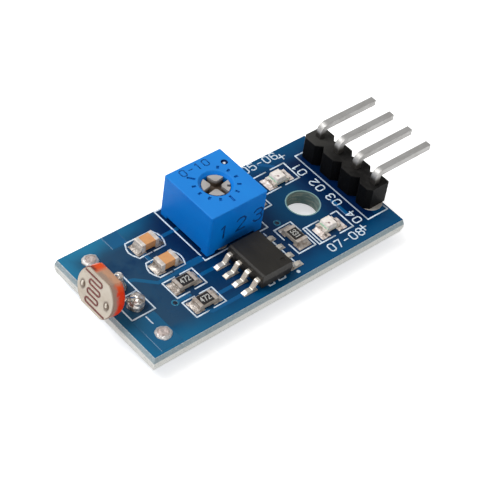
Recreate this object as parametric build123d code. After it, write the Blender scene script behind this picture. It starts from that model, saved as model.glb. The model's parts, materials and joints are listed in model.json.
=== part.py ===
from build123d import *
from math import atan2, cos, degrees, radians, sin, sqrt
import os

# Light sensor module: a small circuit board with a light-dependent resistor at one end,
# a trimmer that sets the switching threshold, a comparator chip, chip parts, two signal
# lamps and a four-way pin header bent out over the other end.
# Millimetres. The origin is the mounting hole's axis in the plane of the board's underside.
# X runs along the board towards the header, Y across it, Z up.

# Board, with length and width of its upper face; the scored and snapped edges bulge outwards
board_length = 30.0
board_width = 14.0
board_thickness = 1.6
board_edge_bulge = 0.15
board_score_depth = 0.6
hole_from_sensor_edge = 23.5
mounting_hole_diameter = 3.2
via_drill = 0.4
plating = 0.02
solder_film = 0.05
tail_length = 1.2
flat_clearance = 0.05
lead_clearance = 0.02

# Places on the board, each as (distance from the sensor edge, distance from the centreline)
sensor_pads_place = (2.37, 0.0)
spare_pads_from_long_edge = 1.8
trimmer_place = (14.7, 3.1)
comparator_place = (14.6, -3.8)
capacitor_1_place = (7.75, 3.98)
capacitor_2_place = (7.72, 1.12)
resistor_1_place = (7.62, -1.68)
resistor_2_place = (7.68, -4.43)
resistor_3_place = (19.78, -2.98)
resistor_4_place = (19.78, 3.23)
power_led_place = (23.5, 3.75)
signal_led_place = (23.3, -3.95)
signal_led_aside = 0.3
via_places = [(19.66, -0.62), (5.48, -3.02), (5.8, 6.09)]
header_from_edge = 1.0
header_from_centreline = 0.35

# Light-dependent resistor
sensor_diameter = 4.7
sensor_across_flats = 3.85
sensor_ceramic_thickness = 0.9
sensor_coat = 0.06
sensor_coat_lip = 0.12
sensor_resin_thickness = 0.7
sensor_resin_edge_radius = 0.45
sensor_overhang = 1.3
sensor_centre_height = 2.67
sensor_tilt = 10.0
sensor_lead_diameter = 0.5
sensor_lead_spread = 3.3
sensor_lead_drop = 0.15
sensor_pad_pitch = 2.54
sensor_lead_stub = 0.45
sensor_lead_approach = 0.9
sensor_lead_rise = 0.43
sensor_lead_bend_radius = 0.4
sensor_rivet_diameter = 0.66
sensor_rivet_height = 0.1
sensor_rivet_edge = 0.08
track_width = 0.16
track_height = 0.05
track_pitch = 0.5
track_turn_radius = 0.245
track_runs = 7
track_left_turn = 0.95
track_right_turn = -0.62
track_end_reach = 1.72

# Trimmer
trimmer_length = 6.6
trimmer_width = 6.8
trimmer_height = 4.5
trimmer_standoff = 0.3
trimmer_foot = 0.9
trimmer_corner_chamfer = 0.1
trimmer_top_edge = 0.08
trimmer_side_wall = 0.5
trimmer_top_wall = 0.9
trimmer_chamber_wall = 0.65
rotor_diameter = 2.7
rotor_running_gap = 0.05
rotor_recess = 0.25
rotor_flange_diameter = 4.9
rotor_flange_thickness = 0.9
rotor_slot_width = 0.55
rotor_slot_depth = 0.75
rotor_slot_round = 0.3
rotor_slot_turn = 9.0
rotor_notch_width = 0.28
rotor_notch_depth = 0.32
window_bevel = 0.3
seal_section = 0.4
seal_groove_width = 0.44
seal_groove_depth = 0.27
wiper_thickness = 0.12
wiper_inner_diameter = 1.2
wiper_outer_diameter = 2.4
wiper_finger_count = 3
wiper_finger_width = 0.35
wiper_finger_reach = 1.9
element_thickness = 0.8
element_depth = 1.9
potting_recess = 0.15
trimmer_pin_diameter = 0.5
trimmer_pin_pitch = 2.54
trimmer_pin_cover = 0.3
trimmer_pin_tip = 0.08
dial_mark_count = 11
dial_sweep = 275.0
dial_start = 131.0
dial_mark_radius = 1.92
dial_mark_length = 0.4
dial_long_mark_length = 0.8
dial_mark_width = 0.25
dial_mark_depth = 0.12
dimple_diameter = 0.68
dimple_depth = 0.14
dimple_offset = (2.45, 1.75)

# Comparator chip
chip_width = 3.6
chip_length = 4.9
chip_standoff = 0.12
chip_lower_height = 0.85
chip_upper_height = 0.68
chip_draft = 7.0
chip_bevel = 0.15
chip_dimple_diameter = 0.55
chip_dimple_depth = 0.08
chip_dimple_offset = (1.15, -1.75)
chip_lead_count = 4
chip_lead_pitch = 1.27
chip_lead_width = 0.47
chip_lead_thickness = 0.2
chip_lead_span = 6.4
chip_lead_foot = 0.65
chip_lead_knee = 0.28
chip_lead_root = 0.35
chip_lead_bend_radius = 0.2
chip_land_beyond_toe = 0.375
chip_land_length = 1.55
chip_land_width = 0.6

# Chip capacitors and resistors
chip_part_length = 2.0
chip_part_width = 1.25
capacitor_height = 0.85
capacitor_band = 0.42
capacitor_metal = 0.04
capacitor_edge_radius = 0.06
resistor_height = 0.5
resistor_band = 0.34
resistor_metal = 0.05
resistor_coat_thickness = 0.04
resistor_coat_margin = 0.06

# Chip lamps
led_base_height = 0.3
led_band = 0.4
led_metal = 0.04
led_notch_radius = 0.28
led_lens_length = 1.16
led_lens_height = 0.48
led_lens_draft = 8.0
led_die_size = 0.32
led_die_height = 0.14

# Tinned lands under the chip parts, and how the solder climbs the parts' ends
land_inset = 0.5
land_reach = 0.55
land_overhang = 0.15
capacitor_fillet_rise = 0.55
resistor_fillet_rise = 0.36
led_fillet_rise = 0.24
fillet_bend = 0.38

# Pin header
header_pitch = 2.54
header_count = 4
header_block_width = 2.5
header_block_height = 2.5
header_notch = 0.58
header_back_end = 0.98
header_front_end = 0.74
header_cut_corner = 0.45
header_pin_size = 0.64
header_pin_height = 3.8
header_pin_reach = 7.0
header_pin_inner_bend = 0.25
header_pin_tip = 0.16

# Through-hole solder
header_drill = 1.0
trimmer_drill = 0.8
sensor_drill = 0.8
spare_drill = 0.8
solder_neck = 0.1
solder_hollow = 0.1
header_land_radius = 1.2
header_solder_height = 0.85
trimmer_land_radius = 0.9
trimmer_solder_height = 0.7
sensor_land_radius = 0.84
sensor_solder_heights = (1.7, 1.12)
sensor_solder_neck = 0.18
sensor_under_height = 0.75
spare_land_radius = 0.82
spare_dome_height = 0.36
spare_dome_flat = 0.12
spare_dome_swell = 0.12

# Levels and edges worked out from the sizes above
top = board_thickness
sensor_edge = -hole_from_sensor_edge
header_edge = sensor_edge + board_length
tail_level = -tail_length
chip_part_seat = top + solder_film
trimmer_seat = top + trimmer_standoff
trimmer_top = trimmer_seat + trimmer_height
trimmer_ceiling = trimmer_top - trimmer_top_wall
element_top = trimmer_seat + element_depth
element_bottom = element_top - element_thickness
rotor_top = trimmer_top - rotor_recess
flange_top = trimmer_ceiling - rotor_running_gap
flange_bottom = flange_top - rotor_flange_thickness
flange_middle = (flange_top + flange_bottom) / 2


def spot(place):
    """X and Y of a place given from the sensor edge and the centreline."""
    return sensor_edge + place[0], place[1]


def header_spots():
    """X and Y of each header pin, from the back of the board to its front."""
    x = header_edge - header_from_edge
    half = (header_count - 1) / 2
    return [(x, header_from_centreline + (half - i) * header_pitch) for i in range(header_count)]


def trimmer_pin_spots():
    """X and Y of the trimmer's pins: two in a row, and the slider's opposite, between them."""
    x, y = spot(trimmer_place)
    near = x - trimmer_pin_pitch / 2
    far = x + trimmer_pin_pitch / 2
    return [(near, y + trimmer_pin_pitch), (far, y), (near, y - trimmer_pin_pitch)]


def sensor_pad_spots():
    """X and Y of the sensor's two pads, the one nearer the back of the board first."""
    x, y = spot(sensor_pads_place)
    return [(x, y + sensor_pad_pitch / 2), (x, y - sensor_pad_pitch / 2)]


def spare_pad_spots():
    """X and Y of the two filled spare pads, in line with the sensor's and one near each long edge."""
    x = spot(sensor_pads_place)[0]
    y = board_width / 2 - spare_pads_from_long_edge
    return [(x, y), (x, -y)]


def group(pieces):
    """Several separate solids of one kind, kept in one node."""
    return Compound(children=[solid for piece in pieces for solid in piece.solids()])


def upright(radius, low, high, place=(0.0, 0.0)):
    """A vertical round bar between two levels."""
    bar = Cylinder(radius, high - low, align=(Align.CENTER, Align.CENTER, Align.MIN))
    return Pos(place[0], place[1], low) * bar


def block(length, width, low, high):
    """A box centred on the Z axis between two levels."""
    return Pos(0, 0, low) * Box(length, width, high - low, align=(Align.CENTER, Align.CENTER, Align.MIN))


def bent_strip(points, radius, width, thickness):
    """A strip of constant section, bent along points of the XZ plane."""
    path = FilletPolyline(*[(x, 0, z) for x, z in points], radius=radius)
    start = Plane(origin=(points[0][0], 0, points[0][1]), x_dir=(0, 1, 0), z_dir=(1, 0, 0))
    return sweep(start * Rectangle(width, thickness), path=path)


# Circuit board

def make_board():
    """The laminate with its scored edges, mounting hole, pin holes and vias."""
    outline = Rectangle(board_length + 2 * board_edge_bulge, board_width + 2 * board_edge_bulge)
    slope = degrees(atan2(board_edge_bulge, board_score_depth))
    lower = Plane.XY.offset(board_score_depth) * outline
    upper = Plane.XY.offset(top - board_score_depth) * outline
    plate = extrude(lower, amount=top - 2 * board_score_depth)
    plate += extrude(lower, amount=-board_score_depth, taper=slope)
    plate += extrude(upper, amount=board_score_depth, taper=slope)
    plate = Pos(sensor_edge + board_length / 2, 0, 0) * plate
    holes = [((0.0, 0.0), mounting_hole_diameter)]
    holes += [(place, header_drill) for place in header_spots()]
    holes += [(place, trimmer_drill) for place in trimmer_pin_spots()]
    holes += [(place, sensor_drill) for place in sensor_pad_spots()]
    holes += [(place, spare_drill) for place in spare_pad_spots()]
    holes += [(spot(place), via_drill) for place in via_places]
    for place, drill in holes:
        plate -= upright(drill / 2, -top, 2 * top, place)
    return plate


# Solder

def solder_side(land_radius, neck, height, level, outward, hollow):
    """Outline of the solder on one face of the board, from its land's edge to its axis."""
    rim = (land_radius, level + outward * solder_film)
    crown = (neck, level + outward * height)
    middle = ((rim[0] + crown[0]) / 2 - hollow, (rim[1] + crown[1]) / 2 - outward * hollow)
    side = Line((land_radius, level), rim) + ThreePointArc(rim, middle, crown)
    return side + Line(crown, (0, crown[1]))


def flat_side(land_radius, level, outward):
    """Outline of a thin tinned land with no cone, from its edge to its axis."""
    return Polyline((land_radius, level), (land_radius, level + outward * solder_film),
                    (0, level + outward * solder_film))


def solder_joint(place, drill, land_radius, upper, upper_height, lower, lower_height):
    """Solder that fills a plated hole between its outlines above and below the board."""
    hole_radius = drill / 2 - plating
    inside = Polyline((land_radius, 0), (hole_radius, 0), (hole_radius, top), (land_radius, top))
    axis = Line((0, -lower_height), (0, top + upper_height))
    profile = make_face(upper + lower + inside + axis)
    return Pos(place[0], place[1], 0) * revolve(Plane.XZ * profile, Axis.Z)


def make_header_solder(pins):
    """One joint under each header pin, with a flat land on the upper face."""
    neck = header_pin_size / 2 + solder_neck
    lower = solder_side(header_land_radius, neck, header_solder_height, 0, -1, solder_hollow)
    upper = flat_side(header_land_radius, top, 1)
    joints = []
    for place, pin in zip(header_spots(), pins):
        joint = solder_joint(place, header_drill, header_land_radius, upper, solder_film,
                             lower, header_solder_height)
        joints.append(joint - pin)
    return group(joints)


def make_trimmer_solder():
    """One joint under each trimmer pin, with a flat land on the upper face."""
    neck = trimmer_pin_diameter / 2 + solder_neck
    lower = solder_side(trimmer_land_radius, neck, trimmer_solder_height, 0, -1, solder_hollow)
    upper = flat_side(trimmer_land_radius, top, 1)
    bore = trimmer_pin_diameter / 2 + lead_clearance
    joints = []
    for place in trimmer_pin_spots():
        joint = solder_joint(place, trimmer_drill, trimmer_land_radius, upper, solder_film,
                             lower, trimmer_solder_height)
        joints.append(joint - upright(bore, tail_level, trimmer_top, place))
    return group(joints)


def make_sensor_solder():
    """The two tall joints that hold the sensor's leads."""
    radius = sensor_lead_diameter / 2
    lower = solder_side(sensor_land_radius, radius + solder_neck, sensor_under_height, 0, -1, solder_hollow)
    joints = []
    for index, place in enumerate(sensor_pad_spots()):
        height = sensor_solder_heights[index]
        upper = solder_side(sensor_land_radius, radius + sensor_solder_neck, height, top, 1, solder_hollow)
        joint = solder_joint(place, sensor_drill, sensor_land_radius, upper, height,
                             lower, sensor_under_height)
        joints.append(joint - sensor_wire(index, sensor_lead_diameter + 2 * lead_clearance))
    return group(joints)


def make_spare_solder():
    """The two spare pads, filled with solder to a low dome on each face."""
    dome = (spare_land_radius, spare_dome_flat, spare_dome_height)
    lower = solder_side(*dome, 0, -1, -spare_dome_swell)
    upper = solder_side(*dome, top, 1, -spare_dome_swell)
    return group(
        solder_joint(place, spare_drill, spare_land_radius, upper, spare_dome_height,
                     lower, spare_dome_height)
        for place in spare_pad_spots()
    )


def end_solder(rise, aside):
    """The tinned land under one end of a chip part, with the fillet that climbs its end face."""
    inner = chip_part_length / 2
    outer = inner + land_reach
    half_part = chip_part_width / 2
    half_land = half_part + land_overhang
    land = Pos((inner - land_inset + outer) / 2, 0, 0) * block(
        land_reach + land_inset, 2 * half_land, -solder_film, 0)
    bend = (inner + land_reach * fillet_bend, rise * fillet_bend)
    outline = Polyline((inner, rise), (inner, 0), (outer, 0))
    outline += ThreePointArc((outer, 0), bend, (inner, rise))
    front = max(-half_land, aside - half_part)
    back = min(half_land, aside + half_part)
    wedge = extrude(Plane.XZ * make_face(outline), amount=(back - front) / 2, both=True)
    return land + Pos(0, (back + front) / 2, 0) * wedge


def chip_part_solder(parts, rise):
    """The solder at both ends of chip parts, each given by place, turn and shift aside on its lands."""
    joints = []
    for place, turn, aside in parts:
        joints += [seated(end, place, turn) for end in both_ends(end_solder(rise, aside))]
    return group(joints)


def both_ends(piece):
    """A piece and its mirror image at the other end of a chip part."""
    return [piece, mirror(piece, about=Plane.YZ)]


# Light-dependent resistor

def sensor_frame():
    """The plane of the sensor's face: its X points to the front of the board, its Y up."""
    tilt = radians(sensor_tilt)
    y = sensor_pads_place[1]
    return Plane(origin=(sensor_edge - sensor_overhang, y, top + sensor_centre_height),
                 x_dir=(0, -1, 0), z_dir=(-cos(tilt), 0, sin(tilt)))


def sensor_outline(grow):
    """The round face cut by its two flats, larger all round by grow."""
    across = sensor_across_flats + 2 * grow
    round_face = Circle(sensor_diameter / 2 + grow)
    return round_face & Rectangle(2 * sensor_diameter, across)


def sensor_lead_side(index):
    """Which way a lead lies from the middle of the face: -1 for the back one, 1 for the front one."""
    return 2 * index - 1


def sensor_wire(index, diameter):
    """The bent wire of one lead, from the face through its pad to below the board."""
    frame = sensor_frame()
    across = sensor_lead_side(index) * sensor_lead_spread / 2
    behind = sensor_ceramic_thickness + sensor_resin_thickness + sensor_lead_stub
    pad_x, pad_y = sensor_pad_spots()[index]
    face_point = frame.from_local_coords((across, -sensor_lead_drop, 0))
    back_point = frame.from_local_coords((across, -sensor_lead_drop, -behind))
    turn_level = top + sensor_solder_heights[index] - sensor_lead_diameter / 2
    low_point = Vector(pad_x - sensor_lead_approach, pad_y, turn_level + sensor_lead_rise)
    turn_point = Vector(pad_x, pad_y, turn_level)
    tail_point = Vector(pad_x, pad_y, tail_level)
    path = FilletPolyline(face_point, back_point, low_point, turn_point, tail_point,
                          radius=sensor_lead_bend_radius)
    return sweep(Plane(origin=path @ 0, z_dir=path % 0) * Circle(diameter / 2), path=path)


def make_sensor_ceramic():
    """The ceramic disc, bored for the two leads."""
    disc = extrude(sensor_frame() * sensor_outline(0), amount=-sensor_ceramic_thickness)
    for index in range(2):
        disc -= sensor_wire(index, sensor_lead_diameter + 2 * lead_clearance)
    return disc


def make_sensor_resin():
    """The resin that coats the disc's rim and back."""
    thickness = sensor_ceramic_thickness + sensor_resin_thickness
    shell = extrude(sensor_frame() * sensor_outline(sensor_coat), amount=-thickness)
    rear = shell.faces().sort_by(Axis.X)[-1]
    shell = fillet(rear.edges(), sensor_resin_edge_radius)
    lip = 2 * sensor_coat_lip
    shell -= extrude(sensor_frame() * Rectangle(2 * sensor_diameter, 2 * sensor_diameter),
                     amount=lip / 2, both=True)
    shell -= extrude(sensor_frame() * sensor_outline(0), amount=-sensor_ceramic_thickness)
    for index in range(2):
        shell -= sensor_wire(index, sensor_lead_diameter + 2 * lead_clearance)
    return shell


def make_sensor_lead(index):
    """One lead with the flat head that shows on the disc's face."""
    across = sensor_lead_side(index) * sensor_lead_spread / 2
    head = extrude(sensor_frame() * Pos(across, -sensor_lead_drop, 0) * Circle(sensor_rivet_diameter / 2),
                   amount=sensor_rivet_height)
    head = fillet(head.faces().sort_by(Axis.X)[0].edges(), sensor_rivet_edge)
    return sensor_wire(index, sensor_lead_diameter) + head


def track_line():
    """The meander of the light-sensitive track, as points of the sensor's face."""
    half = (track_runs - 1) / 2
    ends = [-track_left_turn, -track_right_turn]
    points = [(-track_end_reach, half * track_pitch)]
    for run in range(track_runs - 1):
        height = (half - run) * track_pitch
        turn = ends[1 - run % 2]
        points += [(turn, height), (turn, height - track_pitch)]
    points.append((track_end_reach, -half * track_pitch))
    return points


def make_sensor_track():
    """The light-sensitive track, a thin raised line with round turns."""
    points = [(x, y, track_height / 2) for x, y in track_line()]
    path = FilletPolyline(*points, radius=track_turn_radius)
    start = Plane(origin=path @ 0, x_dir=(0, 1, 0), z_dir=(1, 0, 0))
    strip = sweep(start * Rectangle(track_width, track_height), path=path)
    return sensor_frame().location * strip


# Trimmer

def make_trimmer_housing():
    """The moulded housing: a square cap with feet, a round chamber and a dialled window."""
    x, y = spot(trimmer_place)
    body = block(trimmer_length, trimmer_width, top, trimmer_top)
    body = chamfer(body.edges().filter_by(Axis.Z), trimmer_corner_chamfer)
    body = fillet(body.faces().sort_by(Axis.Z)[-1].edges(), trimmer_top_edge)
    body -= block(trimmer_length, trimmer_width - 2 * trimmer_foot, top, trimmer_seat)
    body -= block(trimmer_length - 2 * trimmer_foot, trimmer_width, top, trimmer_seat)
    body -= block(trimmer_length - 2 * trimmer_side_wall, trimmer_width - 2 * trimmer_side_wall,
                  top, element_top)
    chamber_radius = trimmer_length / 2 - trimmer_chamber_wall
    body -= upright(chamber_radius, element_top, trimmer_ceiling)
    window_radius = rotor_diameter / 2 + rotor_running_gap
    body -= upright(window_radius, trimmer_ceiling, trimmer_top)
    bevel = Cone(window_radius, window_radius + window_bevel, window_bevel,
                 align=(Align.CENTER, Align.CENTER, Align.MAX))
    body -= Pos(0, 0, trimmer_top) * bevel
    for mark in dial_marks():
        body -= mark
    body -= upright(dimple_diameter / 2, trimmer_top - dimple_depth, trimmer_top, dimple_offset)
    return Pos(x, y, 0) * body


def dial_marks():
    """The sunk marks of the dial, with a longer one at its start and its middle."""
    marks = []
    for index in range(dial_mark_count):
        long_mark = index in (0, dial_mark_count // 2)
        length = dial_long_mark_length if long_mark else dial_mark_length
        angle = dial_start + index * dial_sweep / (dial_mark_count - 1)
        bar = Pos(dial_mark_radius + length / 2, 0, 0) * block(
            length, dial_mark_width, trimmer_top - dial_mark_depth, trimmer_top)
        marks.append(Rot(0, 0, angle) * bar)
    return marks


def make_trimmer_rotor():
    """The turning knob: a cross-slotted head on a flange that carries the seal and the wiper."""
    x, y = spot(trimmer_place)
    head_radius = rotor_diameter / 2
    rotor = upright(head_radius, flange_top, rotor_top)
    rotor += upright(rotor_flange_diameter / 2, flange_bottom, flange_top)
    groove = upright(rotor_flange_diameter / 2, flange_middle - seal_groove_width / 2,
                     flange_middle + seal_groove_width / 2)
    rotor -= groove - upright(rotor_flange_diameter / 2 - seal_groove_depth, flange_bottom, flange_top)
    cross = Rectangle(2 * rotor_diameter, rotor_slot_width) + Rectangle(rotor_slot_width, 2 * rotor_diameter)
    inner_corners = cross.vertices().sort_by_distance((0, 0, 0))[:4]
    cross = fillet(inner_corners, rotor_slot_round)
    slot = extrude(Plane.XY.offset(rotor_top) * Rot(0, 0, rotor_slot_turn) * cross,
                   amount=-rotor_slot_depth)
    rotor -= slot & upright(head_radius, flange_bottom, trimmer_top)
    notch = Pos(head_radius, 0, 0) * block(2 * rotor_notch_depth, rotor_notch_width,
                                           rotor_top - rotor_notch_depth, rotor_top)
    rotor -= Rot(0, 0, rotor_slot_turn - 45) * notch
    return Pos(x, y, 0) * rotor


def make_trimmer_seal():
    """The rubber ring in the groove round the rotor's flange."""
    x, y = spot(trimmer_place)
    middle_radius = (rotor_flange_diameter - 2 * seal_groove_depth + seal_section) / 2 + lead_clearance
    return Pos(x, y, flange_middle) * Torus(middle_radius, seal_section / 2)


def make_trimmer_wiper():
    """The spring contact under the rotor: a ring with fingers that reach down to the element."""
    x, y = spot(trimmer_place)
    ring = upright(wiper_outer_diameter / 2, flange_bottom - wiper_thickness, flange_bottom)
    ring -= upright(wiper_inner_diameter / 2, flange_bottom - wiper_thickness, flange_bottom)
    root_level = flange_bottom - wiper_thickness / 2
    touch_level = element_top + rotor_running_gap + wiper_thickness / 2
    root = (wiper_inner_diameter + wiper_outer_diameter) / 4
    rim = wiper_outer_diameter / 2
    knee = (rim + wiper_finger_reach) / 2
    points = [(root, root_level), (rim, root_level), (knee, touch_level), (wiper_finger_reach, touch_level)]
    finger = bent_strip(points, wiper_thickness, wiper_finger_width, wiper_thickness)
    for index in range(wiper_finger_count):
        ring += Rot(0, 0, index * 360 / wiper_finger_count) * finger
    return Pos(x, y, 0) * ring


def make_trimmer_element():
    """The ceramic plate with the resistive ring, bored for the pins' upper ends."""
    x, y = spot(trimmer_place)
    gap = 2 * flat_clearance
    plate = block(trimmer_length - 2 * trimmer_side_wall - gap, trimmer_width - 2 * trimmer_side_wall - gap,
                  element_bottom, element_top)
    plate = Pos(x, y, 0) * plate
    for place in trimmer_pin_spots():
        plate -= upright(trimmer_pin_diameter / 2 + lead_clearance, element_bottom,
                         element_top - trimmer_pin_cover, place)
    return plate


def make_trimmer_potting():
    """The hardened resin that closes the housing from below, round the pins."""
    x, y = spot(trimmer_place)
    fill = block(trimmer_length - 2 * trimmer_side_wall, trimmer_width - 2 * trimmer_side_wall,
                 trimmer_seat + potting_recess, element_bottom)
    fill = Pos(x, y, 0) * fill
    for place in trimmer_pin_spots():
        fill -= upright(trimmer_pin_diameter / 2 + lead_clearance, top, element_top, place)
    return fill


def make_trimmer_pin(place):
    """A round pin from inside the element to its trimmed tail below the board."""
    pin = upright(trimmer_pin_diameter / 2, tail_level, element_top - trimmer_pin_cover, place)
    return chamfer(pin.faces().sort_by(Axis.Z)[0].edges(), trimmer_pin_tip)


# Comparator chip

def make_chip_body():
    """The moulded chip body with drafted sides, a bevelled edge and a mark by its first lead."""
    x, y = spot(comparator_place)
    parting = top + chip_standoff + chip_lower_height
    outline = Plane.XY.offset(parting) * Rectangle(chip_width, chip_length)
    body = extrude(outline, amount=chip_upper_height, taper=chip_draft)
    body += extrude(outline, amount=-chip_lower_height, taper=chip_draft)
    upper_edges = body.faces().sort_by(Axis.Z)[-1].edges()
    body = chamfer(upper_edges.sort_by(Axis.X)[0], chip_bevel)
    chip_top = parting + chip_upper_height
    body -= upright(chip_dimple_diameter / 2, chip_top - chip_dimple_depth, chip_top, chip_dimple_offset)
    body = Pos(x, y, 0) * body
    for lead in chip_lead_solids():
        body -= lead
    return body


def chip_lead_solids():
    """The eight gull-wing leads, four along each long side."""
    x, y = spot(comparator_place)
    exit_level = top + chip_standoff + chip_lower_height
    foot_level = top + solder_film + chip_lead_thickness / 2
    toe = chip_lead_span / 2
    side = chip_width / 2
    points = [(side - chip_lead_root, exit_level), (side + chip_lead_knee, exit_level),
              (toe - chip_lead_foot, foot_level), (toe, foot_level)]
    lead = bent_strip(points, chip_lead_bend_radius, chip_lead_width, chip_lead_thickness)
    leads = []
    for index in range(chip_lead_count):
        along = (index - (chip_lead_count - 1) / 2) * chip_lead_pitch
        leads += [Pos(x, y + along, 0) * piece for piece in both_ends(lead)]
    return leads


def make_chip_solder():
    """The tinned lands under the leads, each with a small fillet at the lead's toe."""
    x, y = spot(comparator_place)
    toe = chip_lead_span / 2
    outer = toe + chip_land_beyond_toe
    base = top + solder_film
    land = Pos(outer - chip_land_length / 2, 0, 0) * block(chip_land_length, chip_land_width, top, base)
    crown = base + chip_lead_thickness
    outline = Polyline((toe, crown), (toe, base), (outer, base), (toe, crown))
    land += extrude(Plane.XZ * make_face(outline), amount=chip_lead_width / 2, both=True)
    lands = []
    for index in range(chip_lead_count):
        along = (index - (chip_lead_count - 1) / 2) * chip_lead_pitch
        lands += [Pos(x, y + along, 0) * piece for piece in both_ends(land)]
    return group(lands)


# Chip parts, each made along X on its seat and then placed

def seated(piece, place, turn=0):
    """A chip part's piece at its place on the board, turned about Z."""
    x, y = spot(place)
    return Pos(x, y, chip_part_seat) * Rot(0, 0, turn) * piece


def capacitor_core():
    """The ceramic block of a chip capacitor."""
    metal = 2 * capacitor_metal
    return block(chip_part_length - metal, chip_part_width - metal, capacitor_metal,
                 capacitor_height - capacitor_metal)


def capacitor_caps():
    """The two rounded metal end caps of a chip capacitor."""
    cap = Pos((chip_part_length - capacitor_band) / 2, 0, 0) * block(
        capacitor_band, chip_part_width, 0, capacitor_height)
    cap = fillet(cap.faces().sort_by(Axis.X)[-1].edges(), capacitor_edge_radius)
    return both_ends(cap - capacitor_core())


def resistor_core():
    """The white ceramic plate of a chip resistor."""
    return block(chip_part_length - 2 * resistor_metal, chip_part_width, resistor_metal,
                 resistor_height - resistor_metal)


def resistor_coat():
    """The dark coat over the resistive film, between the end terminals."""
    level = resistor_height - resistor_metal
    return block(chip_part_length - 2 * resistor_band, chip_part_width - 2 * resistor_coat_margin,
                 level, level + resistor_coat_thickness)


def resistor_caps():
    """The two folded metal terminals of a chip resistor."""
    cap = Pos((chip_part_length - resistor_band) / 2, 0, 0) * block(
        resistor_band, chip_part_width, 0, resistor_height)
    return both_ends(cap - resistor_core())


def led_notches(radius):
    """The half-round grooves in the two ends of a chip lamp."""
    groove = upright(radius, 0, led_base_height, (chip_part_length / 2, 0))
    return both_ends(groove)


def led_base():
    """The small base plate of a chip lamp, grooved at both ends."""
    base = block(chip_part_length - 2 * led_metal, chip_part_width, led_metal, led_base_height - led_metal)
    for groove in led_notches(led_notch_radius + led_metal):
        base -= groove
    return base


def led_caps():
    """The plated ends of a chip lamp, lining its grooves."""
    cap = Pos((chip_part_length - led_band) / 2, 0, 0) * block(led_band, chip_part_width, 0, led_base_height)
    cap -= led_base()
    for groove in led_notches(led_notch_radius):
        cap -= groove
    return both_ends(cap)


def led_die():
    """The light-giving chip in the middle of a chip lamp."""
    level = led_base_height - led_metal
    return block(led_die_size, led_die_size, level, level + led_die_height)


def led_lens():
    """The milky moulded lens over the lamp's die."""
    level = led_base_height - led_metal
    outline = Plane.XY.offset(level) * Rectangle(led_lens_length, chip_part_width)
    return extrude(outline, amount=led_lens_height, taper=led_lens_draft) - led_die()


# Pin header

def make_header_block():
    """The moulded strip of four cells with notches between them, bored for the pins."""
    x, first_y = header_spots()[0]
    strip = Part()
    for place_x, place_y in header_spots():
        cell = chamfer(Rectangle(header_block_width, header_pitch).vertices(), header_notch)
        strip += Pos(place_x, place_y, top + solder_film) * extrude(cell, amount=header_block_height)
    back_end = first_y + header_back_end
    front_end = header_spots()[-1][1] - header_front_end
    middle = Pos(x, (back_end + front_end) / 2, 0) * block(
        2 * header_block_width, back_end - front_end, top, top + 2 * header_block_height)
    strip &= middle
    cut = header_cut_corner * sqrt(2)
    strip -= Pos(x - header_block_width / 2, front_end, 0) * Rot(0, 0, 45) * block(
        cut, cut, top, top + 2 * header_block_height)
    for place in header_spots():
        hole = block(header_pin_size, header_pin_size, top, top + 2 * header_block_height)
        strip -= Pos(place[0], place[1], 0) * hole
    return strip


def make_header_pin(place):
    """A square pin that stands in the board and bends out over its end, with tapered tips."""
    half = header_pin_size / 2
    level = top + header_pin_height
    outline = Polyline((-half, tail_level), (-half, level + half), (header_pin_reach, level + half),
                       (header_pin_reach, level - half), (half, level - half), (half, tail_level),
                       (-half, tail_level))
    profile = make_face(outline)
    outer = profile.vertices().sort_by_distance((-half, level + half, 0))[0]
    profile = fillet(outer, header_pin_inner_bend + header_pin_size)
    inner = profile.vertices().sort_by_distance((half, level - half, 0))[0]
    profile = fillet(inner, header_pin_inner_bend)
    pin = extrude(Plane.XZ * profile, amount=half, both=True)
    pin = chamfer(pin.faces().sort_by(Axis.X)[-1].edges(), header_pin_tip)
    pin = chamfer(pin.faces().sort_by(Axis.Z)[0].edges(), header_pin_tip)
    return Pos(place[0], place[1], 0) * pin


# All pieces by node name

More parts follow.
